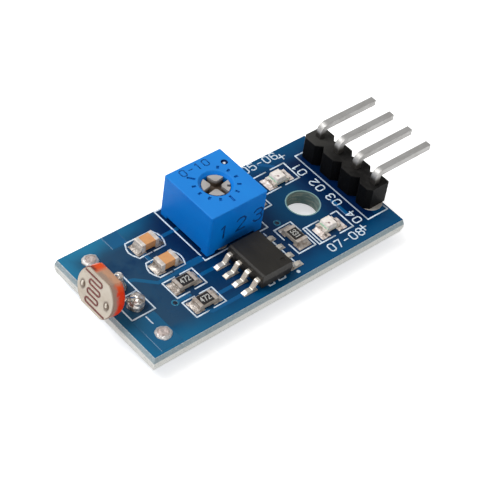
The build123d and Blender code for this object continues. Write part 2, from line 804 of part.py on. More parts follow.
def make_nodes():
    """Every piece of the module, keyed by its node's name."""
    nodes = {"circuit_board": make_board()}
    nodes["sensor_ceramic"] = make_sensor_ceramic()
    nodes["sensor_track"] = make_sensor_track()
    nodes["sensor_resin"] = make_sensor_resin()
    nodes["sensor_lead_back"] = make_sensor_lead(0)
    nodes["sensor_lead_front"] = make_sensor_lead(1)
    nodes["trimmer_housing"] = make_trimmer_housing()
    nodes["trimmer_rotor"] = make_trimmer_rotor()
    nodes["trimmer_seal"] = make_trimmer_seal()
    nodes["trimmer_wiper"] = make_trimmer_wiper()
    nodes["trimmer_element"] = make_trimmer_element()
    nodes["trimmer_potting"] = make_trimmer_potting()
    for number, place in enumerate(trimmer_pin_spots(), start=1):
        nodes[f"trimmer_pin_{number}"] = make_trimmer_pin(place)
    nodes["comparator_body"] = make_chip_body()
    nodes["comparator_leads"] = group(chip_lead_solids())
    for number, place in enumerate([capacitor_1_place, capacitor_2_place], start=1):
        nodes[f"capacitor_{number}_ceramic"] = seated(capacitor_core(), place)
        nodes[f"capacitor_{number}_caps"] = group(seated(cap, place) for cap in capacitor_caps())
    resistors = [(resistor_1_place, 0, 0), (resistor_2_place, 0, 0), (resistor_3_place, 90, 0),
                 (resistor_4_place, 90, 0)]
    for number, (place, turn, _) in enumerate(resistors, start=1):
        nodes[f"resistor_{number}_plate"] = seated(resistor_core(), place, turn)
        nodes[f"resistor_{number}_coat"] = seated(resistor_coat(), place, turn)
        nodes[f"resistor_{number}_caps"] = group(seated(cap, place, turn) for cap in resistor_caps())
    lamps = [(power_led_place, 0, 0), (signal_led_place, 0, signal_led_aside)]
    for name, (place, _, aside) in zip(("power_led", "signal_led"), lamps):
        seat = (place[0], place[1] + aside)
        nodes[f"{name}_base"] = seated(led_base(), seat)
        nodes[f"{name}_caps"] = group(seated(cap, seat) for cap in led_caps())
        nodes[f"{name}_die"] = seated(led_die(), seat)
        nodes[f"{name}_lens"] = seated(led_lens(), seat)
    nodes["header_block"] = make_header_block()
    header_pins = [make_header_pin(place) for place in header_spots()]
    for number, pin in enumerate(header_pins, start=1):
        nodes[f"header_pin_{number}"] = pin
    nodes["header_solder"] = make_header_solder(header_pins)
    nodes["trimmer_solder"] = make_trimmer_solder()
    nodes["sensor_solder"] = make_sensor_solder()
    nodes["spare_pad_solder"] = make_spare_solder()
    nodes["comparator_solder"] = make_chip_solder()
    capacitors = [(capacitor_1_place, 0, 0), (capacitor_2_place, 0, 0)]
    nodes["capacitor_solder"] = chip_part_solder(capacitors, capacitor_fillet_rise)
    nodes["resistor_solder"] = chip_part_solder(resistors, resistor_fillet_rise)
    nodes["led_solder"] = chip_part_solder(lamps, led_fillet_rise)
    return nodes


os.makedirs("parts", exist_ok=True)
for node_name, node_shape in make_nodes().items():
    export_step(node_shape, f"parts/{node_name}.step")
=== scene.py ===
"""Looks of a small light sensor module, dressed round its fixed CAD frame.

Sizes in the classes are millimetres. Points on the board are measured from its sensor edge (x)
and from its front long edge (y), and spot() turns them into metres of the shared frame. Places in
the finishes are millimetres of the shared frame itself.
"""

import json
import logging
import math
from collections.abc import Callable, Mapping, Sequence
from dataclasses import dataclass, field
from enum import Enum
from typing import Protocol, Union

import bmesh
import bpy
from mathutils import Matrix, Vector


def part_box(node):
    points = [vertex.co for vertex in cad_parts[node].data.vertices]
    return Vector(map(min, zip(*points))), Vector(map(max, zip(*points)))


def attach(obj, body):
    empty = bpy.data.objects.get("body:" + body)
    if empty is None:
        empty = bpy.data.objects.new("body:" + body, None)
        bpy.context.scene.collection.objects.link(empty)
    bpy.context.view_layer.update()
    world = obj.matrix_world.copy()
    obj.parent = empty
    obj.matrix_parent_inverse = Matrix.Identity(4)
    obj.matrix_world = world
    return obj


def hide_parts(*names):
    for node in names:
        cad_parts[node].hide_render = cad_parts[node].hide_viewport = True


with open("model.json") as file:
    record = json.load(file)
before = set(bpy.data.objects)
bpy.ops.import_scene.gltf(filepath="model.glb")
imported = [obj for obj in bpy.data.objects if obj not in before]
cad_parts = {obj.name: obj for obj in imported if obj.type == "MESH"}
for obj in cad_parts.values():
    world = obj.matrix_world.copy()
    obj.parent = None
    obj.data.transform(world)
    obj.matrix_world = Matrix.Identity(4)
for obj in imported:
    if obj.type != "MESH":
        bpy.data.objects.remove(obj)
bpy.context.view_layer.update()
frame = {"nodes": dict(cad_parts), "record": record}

log = logging.getLogger("light_sensor_module")

MM = 0.001
SENSOR_EDGE = -23.5
FRONT_EDGE = -7.0
BOARD_LENGTH = 30.0
BOARD_WIDTH = 14.0
BOARD_TOP = 1.6
TRIMMER_SIDE = -12.1
TRIMMER_TOP = 6.4
ROTOR_AXIS = (-8.8, 3.1)
HEADER_SIDE = 3.75
HEADER_TOP = 4.12
INK_RISE = 0.042
EDGE_SAMPLES = 6
MODULE = "module"
GLOSS = "Specular IOR Level"

Colour = tuple[float, float, float, float]
Point = tuple[float, float]
Point3 = tuple[float, float, float]
Line = Sequence[Point]


class Slot(Enum):
    """The record's material slots that the CAD nodes use."""

    BOARD = "board_laminate"
    DISC = "sensor_ceramic"
    TRACK = "sensor_track"
    RESIN = "sensor_resin"
    WIRE = "tinned_wire"
    HOUSING = "trimmer_housing"
    ROTOR = "trimmer_rotor"
    SEAL = "trimmer_seal"
    WIPER = "trimmer_wiper"
    ELEMENT = "trimmer_element"
    POTTING = "trimmer_potting"
    CHIP = "chip_moulding"
    CHIP_LEADS = "chip_leads"
    CAPACITOR = "capacitor_ceramic"
    TERMINALS = "part_terminals"
    PLATE = "resistor_plate"
    COAT = "resistor_coat"
    LAMP_BASE = "led_base"
    LAMP_DIE = "led_die"
    LAMP_LENS = "led_lens"
    HEADER = "header_moulding"
    PINS = "header_pins"
    SOLDER = "solder"


def spot(x: float, y: float, z: float = BOARD_TOP) -> Vector:
    """A point given from the board's edges and underside, in metres of the shared frame."""
    return Vector((x + SENSOR_EDGE, y + FRONT_EDGE, z)) * MM


def shade(red: int, green: int, blue: int) -> Colour:
    """A screen colour of three numbers up to 255, as the linear colour that renders like it.

    Args:
        red: Red part.
        green: Green part.
        blue: Blue part.

    Returns:
        The linear colour with full alpha.
    """
    parts = (part / 255 for part in (red, green, blue))
    linear = [part / 12.92 if part <= 0.04045 else ((part + 0.055) / 1.055) ** 2.4 for part in parts]
    return linear[0], linear[1], linear[2], 1.0


def in_scene(name: str, data: bpy.types.ID) -> bpy.types.Object:
    """A new object of that name and data, linked to the scene."""
    made = bpy.data.objects.new(name, data)
    bpy.context.scene.collection.objects.link(made)
    return made


# Shader building

Term = Union["Value", float, tuple[float, ...]]
Settings = Mapping[str, object] | None
Inputs = Mapping[str | int, Term] | None
Operator = Callable[["Value", Term], "Value"]


def operators(operation: str) -> tuple[Operator, Operator]:
    """The two methods of one operator, each of which adds a Math node.

    Args:
        operation: The Math node's operation.

    Returns:
        The operator with its own value first, and its reflected form.
    """
    def direct(value: "Value", other: Term) -> "Value":
        """This value with another one after it."""
        return value.shader.math(operation, value, other)

    def reflected(value: "Value", other: Term) -> "Value":
        """This value with another one before it."""
        return value.shader.math(operation, other, value)

    return direct, reflected


class Value:
    """A shader socket that takes part in arithmetic: & is the smaller of two and | the larger."""

    def __init__(self, shader: "Shader", socket: bpy.types.NodeSocket) -> None:
        """Keep the socket and the shader that it belongs to."""
        self.shader = shader
        self.socket = socket

    __add__, __radd__ = operators("ADD")
    __sub__, __rsub__ = operators("SUBTRACT")
    __mul__, __rmul__ = operators("MULTIPLY")
    __truediv__, __rtruediv__ = operators("DIVIDE")
    __and__, __rand__ = operators("MINIMUM")
    __or__, __ror__ = operators("MAXIMUM")
    __gt__ = operators("GREATER_THAN")[0]
    __lt__ = operators("LESS_THAN")[0]

    def __abs__(self) -> "Value":
        """This value without its sign."""
        return self.shader.math("ABSOLUTE", self)


class Shader:
    """The node tree of a material or a world, measured in millimetres of Object coordinates."""

    def __init__(self, name: str, world: bool = False) -> None:
        """Start an empty material of that name, or an empty world."""
        self.owner = (bpy.data.worlds if world else bpy.data.materials).new(name)
        self.owner.use_nodes = True
        self.tree = self.owner.node_tree
        self.tree.nodes.clear()

    def node(self, kind: str, settings: Settings = None, inputs: Inputs = None) -> bpy.types.Node:
        """Add a node, set its options and then its inputs.

        Args:
            kind: The node's type name.
            settings: Options by name.
            inputs: Values or links by socket name or number.

        Returns:
            The new node.
        """
        made = self.tree.nodes.new(kind)
        for name, option in (settings or {}).items():
            setattr(made, name, option)
        for name, term in (inputs or {}).items():
            if isinstance(term, Value):
                self.tree.links.new(term.socket, made.inputs[name])
            else:
                made.inputs[name].default_value = term
        return made

    def value(self, kind: str, output: str | int, settings: Settings = None, inputs: Inputs = None) -> Value:
        """Add a node as node() does, and wrap one of its outputs, by name or number."""
        return Value(self, self.node(kind, settings, inputs).outputs[output])

    def math(self, operation: str, *terms: Term) -> Value:
        """A Math node on one or two numbers."""
        return self.value("ShaderNodeMath", 0, {"operation": operation}, dict(enumerate(terms)))

    def vector(self, operation: str, output: str, *terms: Term) -> Value:
        """One output of a Vector Math node."""
        return self.value("ShaderNodeVectorMath", output, {"operation": operation}, dict(enumerate(terms)))

    def clamp(self, term: Value) -> Value:
        """A value held between nought and one."""
        return self.value("ShaderNodeClamp", 0, {}, {"Value": term})

    def ray(self, kind: str) -> Value:
        """One where the light path is a ray of that kind, else nought."""
        return self.value("ShaderNodeLightPath", f"Is {kind} Ray")

    def place(self, origin: Point3 = (0.0, 0.0, 0.0), stretch: Point3 = (1.0, 1.0, 1.0)) -> Value:
        """Object coordinates in millimetres about a point.

        Args:
            origin: The point that becomes nought, in millimetres.
            stretch: How much faster a pattern runs along each axis.

        Returns:
            The coordinates as a vector.
        """
        where = self.value("ShaderNodeTexCoord", "Object")
        shift = tuple(-part * along for part, along in zip(origin, stretch))
        scale = tuple(along / MM for along in stretch)
        return self.value("ShaderNodeMapping", 0, {}, {"Vector": where, "Location": shift, "Scale": scale})

    def axes(self, vector: Value) -> tuple[Value, ...]:
        """The three parts of a vector."""
        parts = self.node("ShaderNodeSeparateXYZ", {}, {0: vector})
        return tuple(Value(self, output) for output in parts.outputs)

    def from_axis(self, x: float, y: float) -> Value:
        """Distance in millimetres from the upright line through a point."""
        flat = self.vector("MULTIPLY", "Vector", self.place((x, y, 0.0)), (1.0, 1.0, 0.0))
        return self.vector("LENGTH", "Value", flat)

    def noise(self, where: Value, scale: float, detail: float = 3.0, roughness: float = 0.55) -> Value:
        """Cloudy noise round one half, with so many blots a millimetre."""
        return self.value("ShaderNodeTexNoise", 0, {},
                          {"Vector": where, "Scale": scale, "Detail": detail, "Roughness": roughness})

    def ramp(self, term: Value, low: float, high: float) -> Value:
        """A smooth step from nought at low to one at high."""
        return self.value("ShaderNodeMapRange", 0, {"interpolation_type": "SMOOTHSTEP"},
                          {"Value": term, "From Min": low, "From Max": high})

    def fall(self, term: Value, low: float, high: float) -> Value:
        """A smooth step from one at low to nought at high."""
        return 1 - self.ramp(term, low, high)

    def paint(self, colour: Term, *covers: tuple[Term, Term]) -> Term:
        """A colour with others laid over it in turn.

        Args:
            colour: The colour at the bottom.
            covers: How much of each cover shows, nought to one, and its colour.

        Returns:
            The colour that shows.
        """
        for shown, cover in covers:
            colour = self.value("ShaderNodeMix", 2, {"data_type": "RGBA"}, {0: shown, 6: colour, 7: cover})
        return colour

    def bump(self, height: Value, depth: float, edge: float = 0.0) -> Value:
        """A normal bent by a height map.

        Args:
            height: The height, nought to one.
            depth: Millimetres from nought to one.
            edge: Millimetres by which sharp edges look rounded, or nought to leave them.

        Returns:
            The bent normal.
        """
        inputs: dict[str | int, Term] = {"Height": height, "Distance": depth * MM}
        if edge:
            inputs["Normal"] = self.value("ShaderNodeBevel", 0, {"samples": EDGE_SAMPLES}, {"Radius": edge * MM})
        return self.value("ShaderNodeBump", 0, {}, inputs)

    def surface(self, colour: Term, rough: Term, normal: Value, others: Inputs = None) -> bpy.types.Material:
        """Close the tree with one surface shader.

        Args:
            colour: Its base colour.
            rough: Its roughness.
            normal: Its normal.
            others: Values or links of its other sockets.

        Returns:
            The finished material.
        """
        sockets = {"Base Color": colour, "Roughness": rough, "Normal": normal, **(others or {})}
        body = self.value("ShaderNodeBsdfPrincipled", 0, {}, sockets)
        self.node("ShaderNodeOutputMaterial", {}, {0: body})
        return self.owner


# Finishes

class Finish(Protocol):
    """Anything that makes a material."""

    def make(self) -> bpy.types.Material:
        """The material."""
        ...


@dataclass(frozen=True)
class SolderMask:
    """Blue solder mask over a glass-epoxy laminate with bare, scored and snapped edges."""

    name: str = "blue_mask_and_laminate"
    middle: Colour = shade(2, 46, 86)
    border: Colour = shade(2, 74, 117)
    # The next two colours are a painted reflection toward the sensor end.
    painted_reflection: Colour = shade(40, 74, 102)
    border_reflection: Colour = shade(40, 122, 160)
    by_hole: Colour = shade(2, 62, 98)
    shaded: Colour = shade(0, 20, 60)
    scored: Colour = shade(148, 166, 174)
    snapped: Colour = shade(232, 232, 228)
    lit_edge: Colour = shade(236, 240, 240)
    fibre: Colour = shade(244, 244, 240)
    speck: Colour = shade(118, 122, 120)
    hole: Colour = shade(104, 128, 126)
    hole_streak: Colour = shade(150, 160, 150)
    hole_ring: Colour = shade(140, 176, 172)
    hole_radius: float = 1.6
    score_depth: float = 0.6
    border_width: float = 2.6
    # Millimetres from the sensor edge at which the painted reflection has faded.
    reflecting_length: float = 12.0

    @staticmethod
    def beside(s: Shader, edge: float, reach: float, low: float, high: float) -> Value:
        """How near the mask is to the sensor side of a tall part, one at its foot.

        Args:
            s: The shader to add the nodes to.
            edge: X of the part's side.
            reach: Millimetres over which its shade fades.
            low: The part's lower Y.
            high: The part's upper Y.

        Returns:
            A value from nought to one.
        """
        x, y, _ = s.axes(s.place())
        near = s.fall(edge - x, 0.2, reach) * (x < edge + 1.0)
        return near * s.ramp(y, low - 0.8, low + 0.4) * s.fall(y, high - 0.4, high + 0.8)

    def mask(self, s: Shader, clouds: Value) -> Term:
        """The mask's colour, with its paler border, a painted reflection toward the sensor end and painted shade
        beside tall parts.

        Args:
            s: The shader to add the nodes to.
            clouds: Broad noise.

        Returns:
            The colour.
        """
        x, y, _ = s.axes(s.place())
        radius = s.from_axis(0.0, 0.0)
        from_ends = BOARD_LENGTH / 2 - abs(x - (SENSOR_EDGE + BOARD_LENGTH / 2))
        inward = ((BOARD_WIDTH / 2 - abs(y)) & from_ends) + (clouds - 0.5) * 1.6
        # Painted reflection: the mask and its border turn paler toward the sensor end.
        reflecting = s.fall(x, SENSOR_EDGE + 2.0, SENSOR_EDGE + self.reflecting_length)
        rim = s.paint(self.border, (reflecting * (0.45 + s.ramp(y, -2.0, 6.0) * 0.55), self.border_reflection))
        round_hole = s.fall(radius, 2.2, 5.0) * s.fall(x, 0.4, 1.6)
        inner = s.paint(self.middle, (reflecting * s.ramp(clouds, 0.2, 0.55), self.painted_reflection),
                        (round_hole * 0.85, self.by_hole))
        # Painted shade on the mask beside the trimmer and the header.
        by_trimmer = self.beside(s, TRIMMER_SIDE, 3.0, -0.3, 6.7) * 0.75
        by_header = self.beside(s, HEADER_SIDE, 3.2, -4.8, 4.8) * 0.85
        weave = s.ramp(s.noise(s.place(stretch=(1.0, 0.35, 1.0)), 2.2, 2.0), 0.5, 0.8)
        return s.paint(rim, (s.ramp(inward, 0.0, self.border_width), inner),
                       (by_trimmer | by_header, self.shaded), (weave * 0.16, self.border),
                       ((radius < self.hole_radius + 0.12) * 0.85, self.hole_ring))

    def bare(self, s: Shader, fibres: Value) -> Term:
        """The laminate's colour at its edges and in its holes.

        Args:
            s: The shader to add the nodes to.
            fibres: Noise drawn out along the glass.

        Returns:
            The colour.
        """
        where = s.place()
        _, _, z = s.axes(where)
        score = BOARD_TOP - self.score_depth
        lit = s.ramp(z, BOARD_TOP - 0.13, BOARD_TOP - 0.05) * s.ramp(fibres, 0.35, 0.6)
        specks = s.ramp(s.noise(where, 7.0, 3.0, 0.7), 0.56, 0.66)
        streaks = s.ramp(s.noise(s.place(stretch=(1.0, 1.0, 3.0)), 1.2, 3.0), 0.35, 0.7)
        in_hole = s.paint(self.hole, (streaks, self.hole_streak))
        return s.paint(self.snapped, (s.ramp(z, score - 0.04, score + 0.06), self.scored),
                       (lit * 0.6, self.lit_edge), (s.ramp(fibres, 0.45, 0.75) * 0.5, self.fibre),
                       (specks * 0.55, self.speck), (s.from_axis(0.0, 0.0) < self.hole_radius + 0.3, in_hole))

    def make(self) -> bpy.types.Material:
        """The board's material: mask above and below, laminate at its edges and in its holes."""
        s = Shader(self.name)
        where = s.place()
        _, _, z = s.axes(where)
        clouds = s.noise(where, 0.45, 3.0)
        fibres = s.noise(s.place(stretch=(1.6, 1.6, 9.0)), 2.4, 4.0, 0.7)
        masked = (z > BOARD_TOP - 0.002) | (z < 0.002)
        colour = s.paint(self.bare(s, fibres), (masked, self.mask(s, clouds)))
        rough = 0.62 - masked * (0.37 - (clouds - 0.5) * 0.12)
        height = fibres * (1 - masked) * 0.9 + s.noise(where, 3.0, 4.0, 0.6) * masked * 0.12
        return s.surface(colour, rough, s.bump(height, 0.06), {GLOSS: 0.16})


@dataclass(frozen=True)
class MaskedCopper:
    """Solder mask over copper, which shows through it as a clearer blue, with a painted reflection toward the
    sensor end.
    """

    name: str = "mask_over_copper"
    colour: Colour = shade(2, 82, 134)
    # Colour of the painted reflection toward the sensor end.
    painted_reflection: Colour = shade(26, 95, 132)

    def make(self) -> bpy.types.Material:
        """The material of traces and areas under the mask."""
        s = Shader(self.name)
        where = s.place()
        x, _, _ = s.axes(where)
        clouds = s.noise(where, 0.6, 3.0)
        left = s.fall(x, SENSOR_EDGE + 2.0, SENSOR_EDGE + 12.0)
        # Painted reflection, strongest toward the sensor end.
        colour = s.paint(self.colour, (left * (0.6 + clouds * 0.5), self.painted_reflection))
        return s.surface(colour, 0.2 + clouds * 0.08, s.bump(s.noise(where, 3.0), 0.01), {GLOSS: 0.3})


@dataclass(frozen=True)
class Ink:
    """Printed ink with slightly uneven cover, and a painted shadow of the header on it beside the header."""

    name: str
    colour: Colour
    thin: Colour
    roughness: float = 0.55
    # Colour of the painted shadow beside the header.
    header_shadow: Colour = shade(72, 90, 116)

    def make(self) -> bpy.types.Material:
        """The ink's material."""
        s = Shader(self.name)
        where = s.place()
        x, y, _ = s.axes(where)
        cover = s.ramp(s.noise(where, 5.0, 4.0, 0.7), 0.3, 0.5)
        # Painted shadow of the header on the ink beside it.
        by_header = s.ramp(x, 3.3, 3.8) * (abs(y) < 5.0)
        colour = s.paint(self.thin, (cover, self.colour), (by_header * 0.55, self.header_shadow))
        return s.surface(colour, self.roughness, s.bump(s.noise(where, 14.0), 0.006), {GLOSS: 0.3})


@dataclass(frozen=True)
class Moulding:
    """Moulded plastic with flow marks, a fine grain and paler scuffs."""

    name: str
    colour: Colour
    pale: Colour
    roughness: float = 0.4
    grain: float = 9.0
    grain_depth: float = 0.004
    gloss: float = 0.5
    edge: float = 0.05

    def make(self) -> bpy.types.Material:
        """The plastic's material."""
        s = Shader(self.name)
        flow = s.noise(s.place(stretch=(1.0, 0.4, 1.0)), 0.7, 4.0, 0.6)
        fine = s.noise(s.place(), self.grain, 3.0, 0.65)
        scuffs = s.ramp(s.noise(s.place(stretch=(0.3, 3.0, 1.0)), 2.5, 3.0, 0.7), 0.62, 0.8)
        tone = s.ramp(flow, 0.25, 0.8) * 0.5 + scuffs * 0.2 + s.ramp(fine, 0.55, 0.8) * 0.25
        colour = s.paint(self.colour, (s.clamp(tone), self.pale))
        rough = self.roughness + (fine - 0.5) * 0.15 + scuffs * 0.08
        return s.surface(colour, rough, s.bump(fine, self.grain_depth, self.edge), {GLOSS: self.gloss})


@dataclass(frozen=True)
class HousingBlue(Moulding):
    """The trimmer's satin blue, with painted shade in its recessed dial marks and its dimple, and a painted
    sheen on its top.
    """

    lit: Colour = shade(70, 160, 232)
    # Painted shade in the recessed dial marks and in the dimple.
    marks_shade: Colour = shade(4, 92, 172)
    dimple_shade: Colour = shade(0, 34, 84)
    gate: Colour = shade(236, 240, 244)
    dimple: Point = (-6.35, 4.85)
    dimple_radius: float = 0.34

    def make(self) -> bpy.types.Material:
        """The housing's material."""
        s = Shader(self.name)
        where = s.place()
        _, _, z = s.axes(where)
        flow = s.noise(s.place(stretch=(1.0, 0.5, 1.0)), 0.5, 4.0, 0.6)
        fine = s.noise(where, self.grain, 3.0, 0.65)
        drawn = s.noise(s.place(stretch=(6.0, 0.4, 1.0)), 2.0, 3.0, 0.6)
        tone = s.ramp(flow, 0.3, 0.75) * 0.5 + s.ramp(drawn, 0.5, 0.8) * 0.25 + s.ramp(fine, 0.5, 0.8) * 0.25
        level = (z < TRIMMER_TOP - 0.05) & (z > TRIMMER_TOP - 0.2)
        radius = s.from_axis(*ROTOR_AXIS)
        marks = level & ((radius < 3.05) & (radius > 1.75))
        from_dimple = s.from_axis(*self.dimple)
        in_dimple = level & (from_dimple < self.dimple_radius + 0.02)
        spur = level & s.fall(from_dimple + (fine - 0.5) * 0.1, 0.1, 0.16)
        # Painted sheen on the top, painted shade in the marks and the dimple.
        colour = s.paint(self.colour, (s.clamp(tone), self.pale),
                         (s.ramp(z, TRIMMER_TOP - 0.12, TRIMMER_TOP) * 0.25, self.lit),
                         (marks * 0.8, self.marks_shade), (in_dimple, self.dimple_shade), (spur, self.gate))
        rough = self.roughness + (fine - 0.5) * 0.16 + (drawn - 0.5) * 0.08
        normal = s.bump(fine * 0.6 + drawn * 0.4, self.grain_depth, self.edge)
        return s.surface(colour, rough, normal, {GLOSS: self.gloss})


@dataclass(frozen=True)
class RotorGrey:
    """The rotor's warm grey plastic, with painted brown shade down in its slots and toward its middle."""

    name: str = "warm_grey_rotor"
    petal: Colour = shade(178, 174, 170)
    # Colour of the painted shade in the slots.
    depth: Colour = shade(84, 70, 58)
    top: float = 6.15

    def make(self) -> bpy.types.Material:
        """The rotor's material."""
        s = Shader(self.name)
        where = s.place((*ROTOR_AXIS, self.top))
        _, _, z = s.axes(where)
        fine = s.noise(where, 6.0, 4.0, 0.6)
        # Painted shade: darker down in the slots and near the middle.
        down = s.fall(z + (fine - 0.5) * 0.2, -0.55, -0.02)
        middle = s.fall(s.from_axis(*ROTOR_AXIS), 0.25, 1.2)
        colour = s.paint(self.petal, (s.clamp(down * 0.9 + middle * 0.35), self.depth))
        return s.surface(colour, 0.42 + (fine - 0.5) * 0.2, s.bump(fine, 0.012, 0.06))


@dataclass(frozen=True)
class DiscFrame:
    """The light-dependent disc's own axes: across to the front of the board, up its face, and behind it."""

    origin: Point3 = (-24.8, 0.0, 4.27)
    tilt: float = 10.0
    spread: float = 3.3

    def axes(self, s: Shader) -> list[Value]:
        """Coordinates on the disc.

        Args:
            s: The shader to add the nodes to.

        Returns:
            Across, up and depth behind the face, in millimetres.
        """
        where = s.place(self.origin)
        sine, cosine = math.sin(math.radians(self.tilt)), math.cos(math.radians(self.tilt))
        directions = ((0.0, -1.0, 0.0), (sine, 0.0, cosine), (cosine, 0.0, -sine))
        return [s.vector("DOT_PRODUCT", "Value", where, direction) for direction in directions]

    def from_heads(self, s: Shader, half: Point, drop: float) -> Value:
        """How far a point is from the nearer of the two wire heads.

        Args:
            s: The shader to add the nodes to.
            half: Half the width and half the height of the oval where this is one.
            drop: Millimetres from the oval's middle up to the disc's.

        Returns:
            The distance, in halves of the oval.
        """
        across, up, _ = self.axes(s)
        side = (abs(across) - self.spread / 2) / half[0]
        lift = (up + drop) / half[1]
        return s.math("SQRT", side * side + lift * lift)


DISC = DiscFrame()


@dataclass(frozen=True)
class Tin:
    """Tin on metal: plated, drawn or flowed, with dull patches and a trace of brown flux."""

    name: str
    bright: Colour
    dull: Colour
    roughness: float = 0.22
    dimple: float = 2.0
    dimple_depth: float = 0.05
    flux: float = 0.0
    stretch: Point3 = (1.0, 1.0, 1.0)
    edge: float = 0.04
    matte: float = 0.0
    stained: Colour = shade(120, 84, 54)

    def make(self) -> bpy.types.Material:
        """The metal's material."""
        s = Shader(self.name)
        where = s.place(stretch=self.stretch)
        patches = s.noise(where, 1.6, 4.0, 0.6)
        fine = s.noise(where, 9.0, 3.0, 0.6)
        dents = s.noise(where, self.dimple, 2.0, 0.5)
        stain = s.ramp(s.noise(where, 1.1, 4.0, 0.65), 0.52, 0.72) * self.flux
        colour = s.paint(self.bright, (s.ramp(patches, 0.35, 0.7), self.dull), (stain, self.stained))
        rough = s.clamp(self.roughness + (patches - 0.5) * 0.25 + (fine - 0.5) * 0.12)
        metallic = s.clamp(1 - self.matte * (0.7 + patches * 0.6) - stain * 0.7)
        normal = s.bump(dents + fine * 0.08, self.dimple_depth, self.edge)
        return s.surface(colour, rough, normal, {"Metallic": metallic})


@dataclass(frozen=True)
class LampSolder(Tin):
    """Pale solder at the lamps, with brown flux caught beside their ends."""

    flux_brown: Colour = shade(66, 48, 34)
    second_aside: float = 0.2

    def make(self) -> bpy.types.Material:
        """The solder's material."""
        s = Shader(self.name)
        where = s.place()
        x, y, _ = s.axes(where)
        patches = s.noise(where, 1.8, 4.0, 0.6)
        from_middle = abs(x + self.second_aside * (y < 0.0))
        caught = s.ramp(from_middle, 0.6, 0.78) * s.fall(from_middle + (patches - 0.5) * 0.3, 1.0, 1.14)
        caught = caught * s.ramp(s.noise(where, 3.0, 2.0), 0.44, 0.54)
        colour = s.paint(self.bright, (s.ramp(patches, 0.4, 0.7), self.dull), (caught * 0.85, self.flux_brown))
        rough = self.roughness + (patches - 0.5) * 0.2
        return s.surface(colour, rough, s.bump(patches, self.dimple_depth, self.edge), {"Metallic": 0.15})


@dataclass(frozen=True)
class PinPlating(Tin):
    """The header pins' plating, with a painted dark reflection of the black block where they stand in it and
    just above it.
    """

    # Colour of the painted reflection of the black block.
    block_reflection: Colour = shade(46, 42, 37)

    def make(self) -> bpy.types.Material:
        """The plating's material."""
        s = Shader(self.name)
        where = s.place(stretch=self.stretch)
        _, _, z = s.axes(s.place())
        patches = s.noise(where, 1.6, 4.0, 0.6)
        height = z + (patches - 0.5) * 0.5 - HEADER_TOP
        # Painted reflection of the black block, low on the pins.
        foot = s.fall(height, 0.45, 1.1) * (z > 2.0)
        colour = s.paint(self.bright, (s.ramp(patches, 0.35, 0.7), self.dull), (foot * 0.92, self.block_reflection))
        normal = s.bump(s.noise(where, self.dimple, 2.0, 0.5), self.dimple_depth, self.edge)
        return s.surface(colour, self.roughness + (patches - 0.5) * 0.25, normal, {"Metallic": 1 - self.matte})


@dataclass(frozen=True)
class HeadedWire(Tin):
    """The disc's tinned wires, whose heads are brown round the rim and bright in the middle."""

    half: Point = (0.26, 0.42)
    drop: float = 0.06
    rim: Colour = shade(104, 86, 70)

    def make(self) -> bpy.types.Material:
        """The wires' material."""
        s = Shader(self.name)
        _, _, depth = DISC.axes(s)
        patches = s.noise(s.place(), 2.4, 3.0, 0.6)
        out = DISC.from_heads(s, self.half, self.drop) + (patches - 0.5) * 0.7
        head = s.fall(depth, 0.1, 0.2) * s.ramp(out, 0.3, 0.75)
        colour = s.paint(self.bright, (s.ramp(patches, 0.35, 0.7), self.dull), (head * 0.9, self.rim))
        rough = self.roughness + (patches - 0.5) * 0.2 + head * 0.25
        normal = s.bump(patches, self.dimple_depth, self.edge)
        return s.surface(colour, rough, normal, {"Metallic": 1 - head * 0.6})


@dataclass(frozen=True)
class SparePad:
    """Solder in the spare pads: pale and smooth at the rim, dull, pink and wrinkled within it."""

    name: str = "wrinkled_solder"
    rim: Colour = shade(206, 204, 202)
    inner: Colour = shade(196, 182, 176)
    wrinkle: Colour = shade(122, 96, 88)
    radius: float = 0.82
    from_side: float = 1.8
    row: float = 2.37

    def make(self) -> bpy.types.Material:
        """The solder's material."""
        s = Shader(self.name)
        where = s.place()
        aside = BOARD_WIDTH / 2 - self.from_side
        row = self.row + SENSOR_EDGE
        out = (s.from_axis(row, aside) & s.from_axis(row, -aside)) / self.radius
        blots = s.noise(where, 2.6, 4.0, 0.65)
        inside = s.fall(out + (blots - 0.5) * 0.35, 0.5, 0.78)
        band = (inside & s.ramp(out, 0.4, 0.6)) * s.ramp(s.noise(where, 1.4, 2.0), 0.42, 0.55)
        colour = s.paint(self.rim, (inside, self.inner),
                         (inside * s.ramp(blots, 0.52, 0.68) * 0.8, self.wrinkle), (band * 0.7, self.wrinkle))
        normal = s.bump(blots + inside * 0.4, 0.12)
        others = {"Metallic": 0.35 - inside * 0.2, GLOSS: 0.4}
        return s.surface(colour, 0.34 + inside * 0.12, normal, others)


@dataclass(frozen=True)
class HeaderBlack(Moulding):
    """The header's black plastic, with a painted sheen on its flat top, most of all at its back end."""

    # Colours of the painted sheen on the flat top.
    dust_and_sheen: Colour = shade(38, 37, 36)
    back_sheen: Colour = shade(66, 65, 63)

    def make(self) -> bpy.types.Material:
        """The plastic's material."""
        s = Shader(self.name)
        where = s.place()
        _, y, z = s.axes(where)
        fine = s.noise(where, self.grain, 3.0, 0.65)
        clouds = s.ramp(s.noise(where, 0.9, 3.0, 0.6), 0.4, 0.65)
        level = s.ramp(z, HEADER_TOP - 0.08, HEADER_TOP - 0.02)
        # Painted sheen on the flat top, strongest toward the back end.
        colour = s.paint(self.colour, (s.ramp(fine, 0.45, 0.75), self.pale),
                         (level * (0.45 + clouds * 0.55), self.dust_and_sheen),
                         (level * s.ramp(y, 0.6, 4.6) * 0.9, self.back_sheen))
        rough = self.roughness + (fine - 0.5) * 0.15
        return s.surface(colour, rough, s.bump(fine, self.grain_depth, self.edge), {GLOSS: self.gloss})


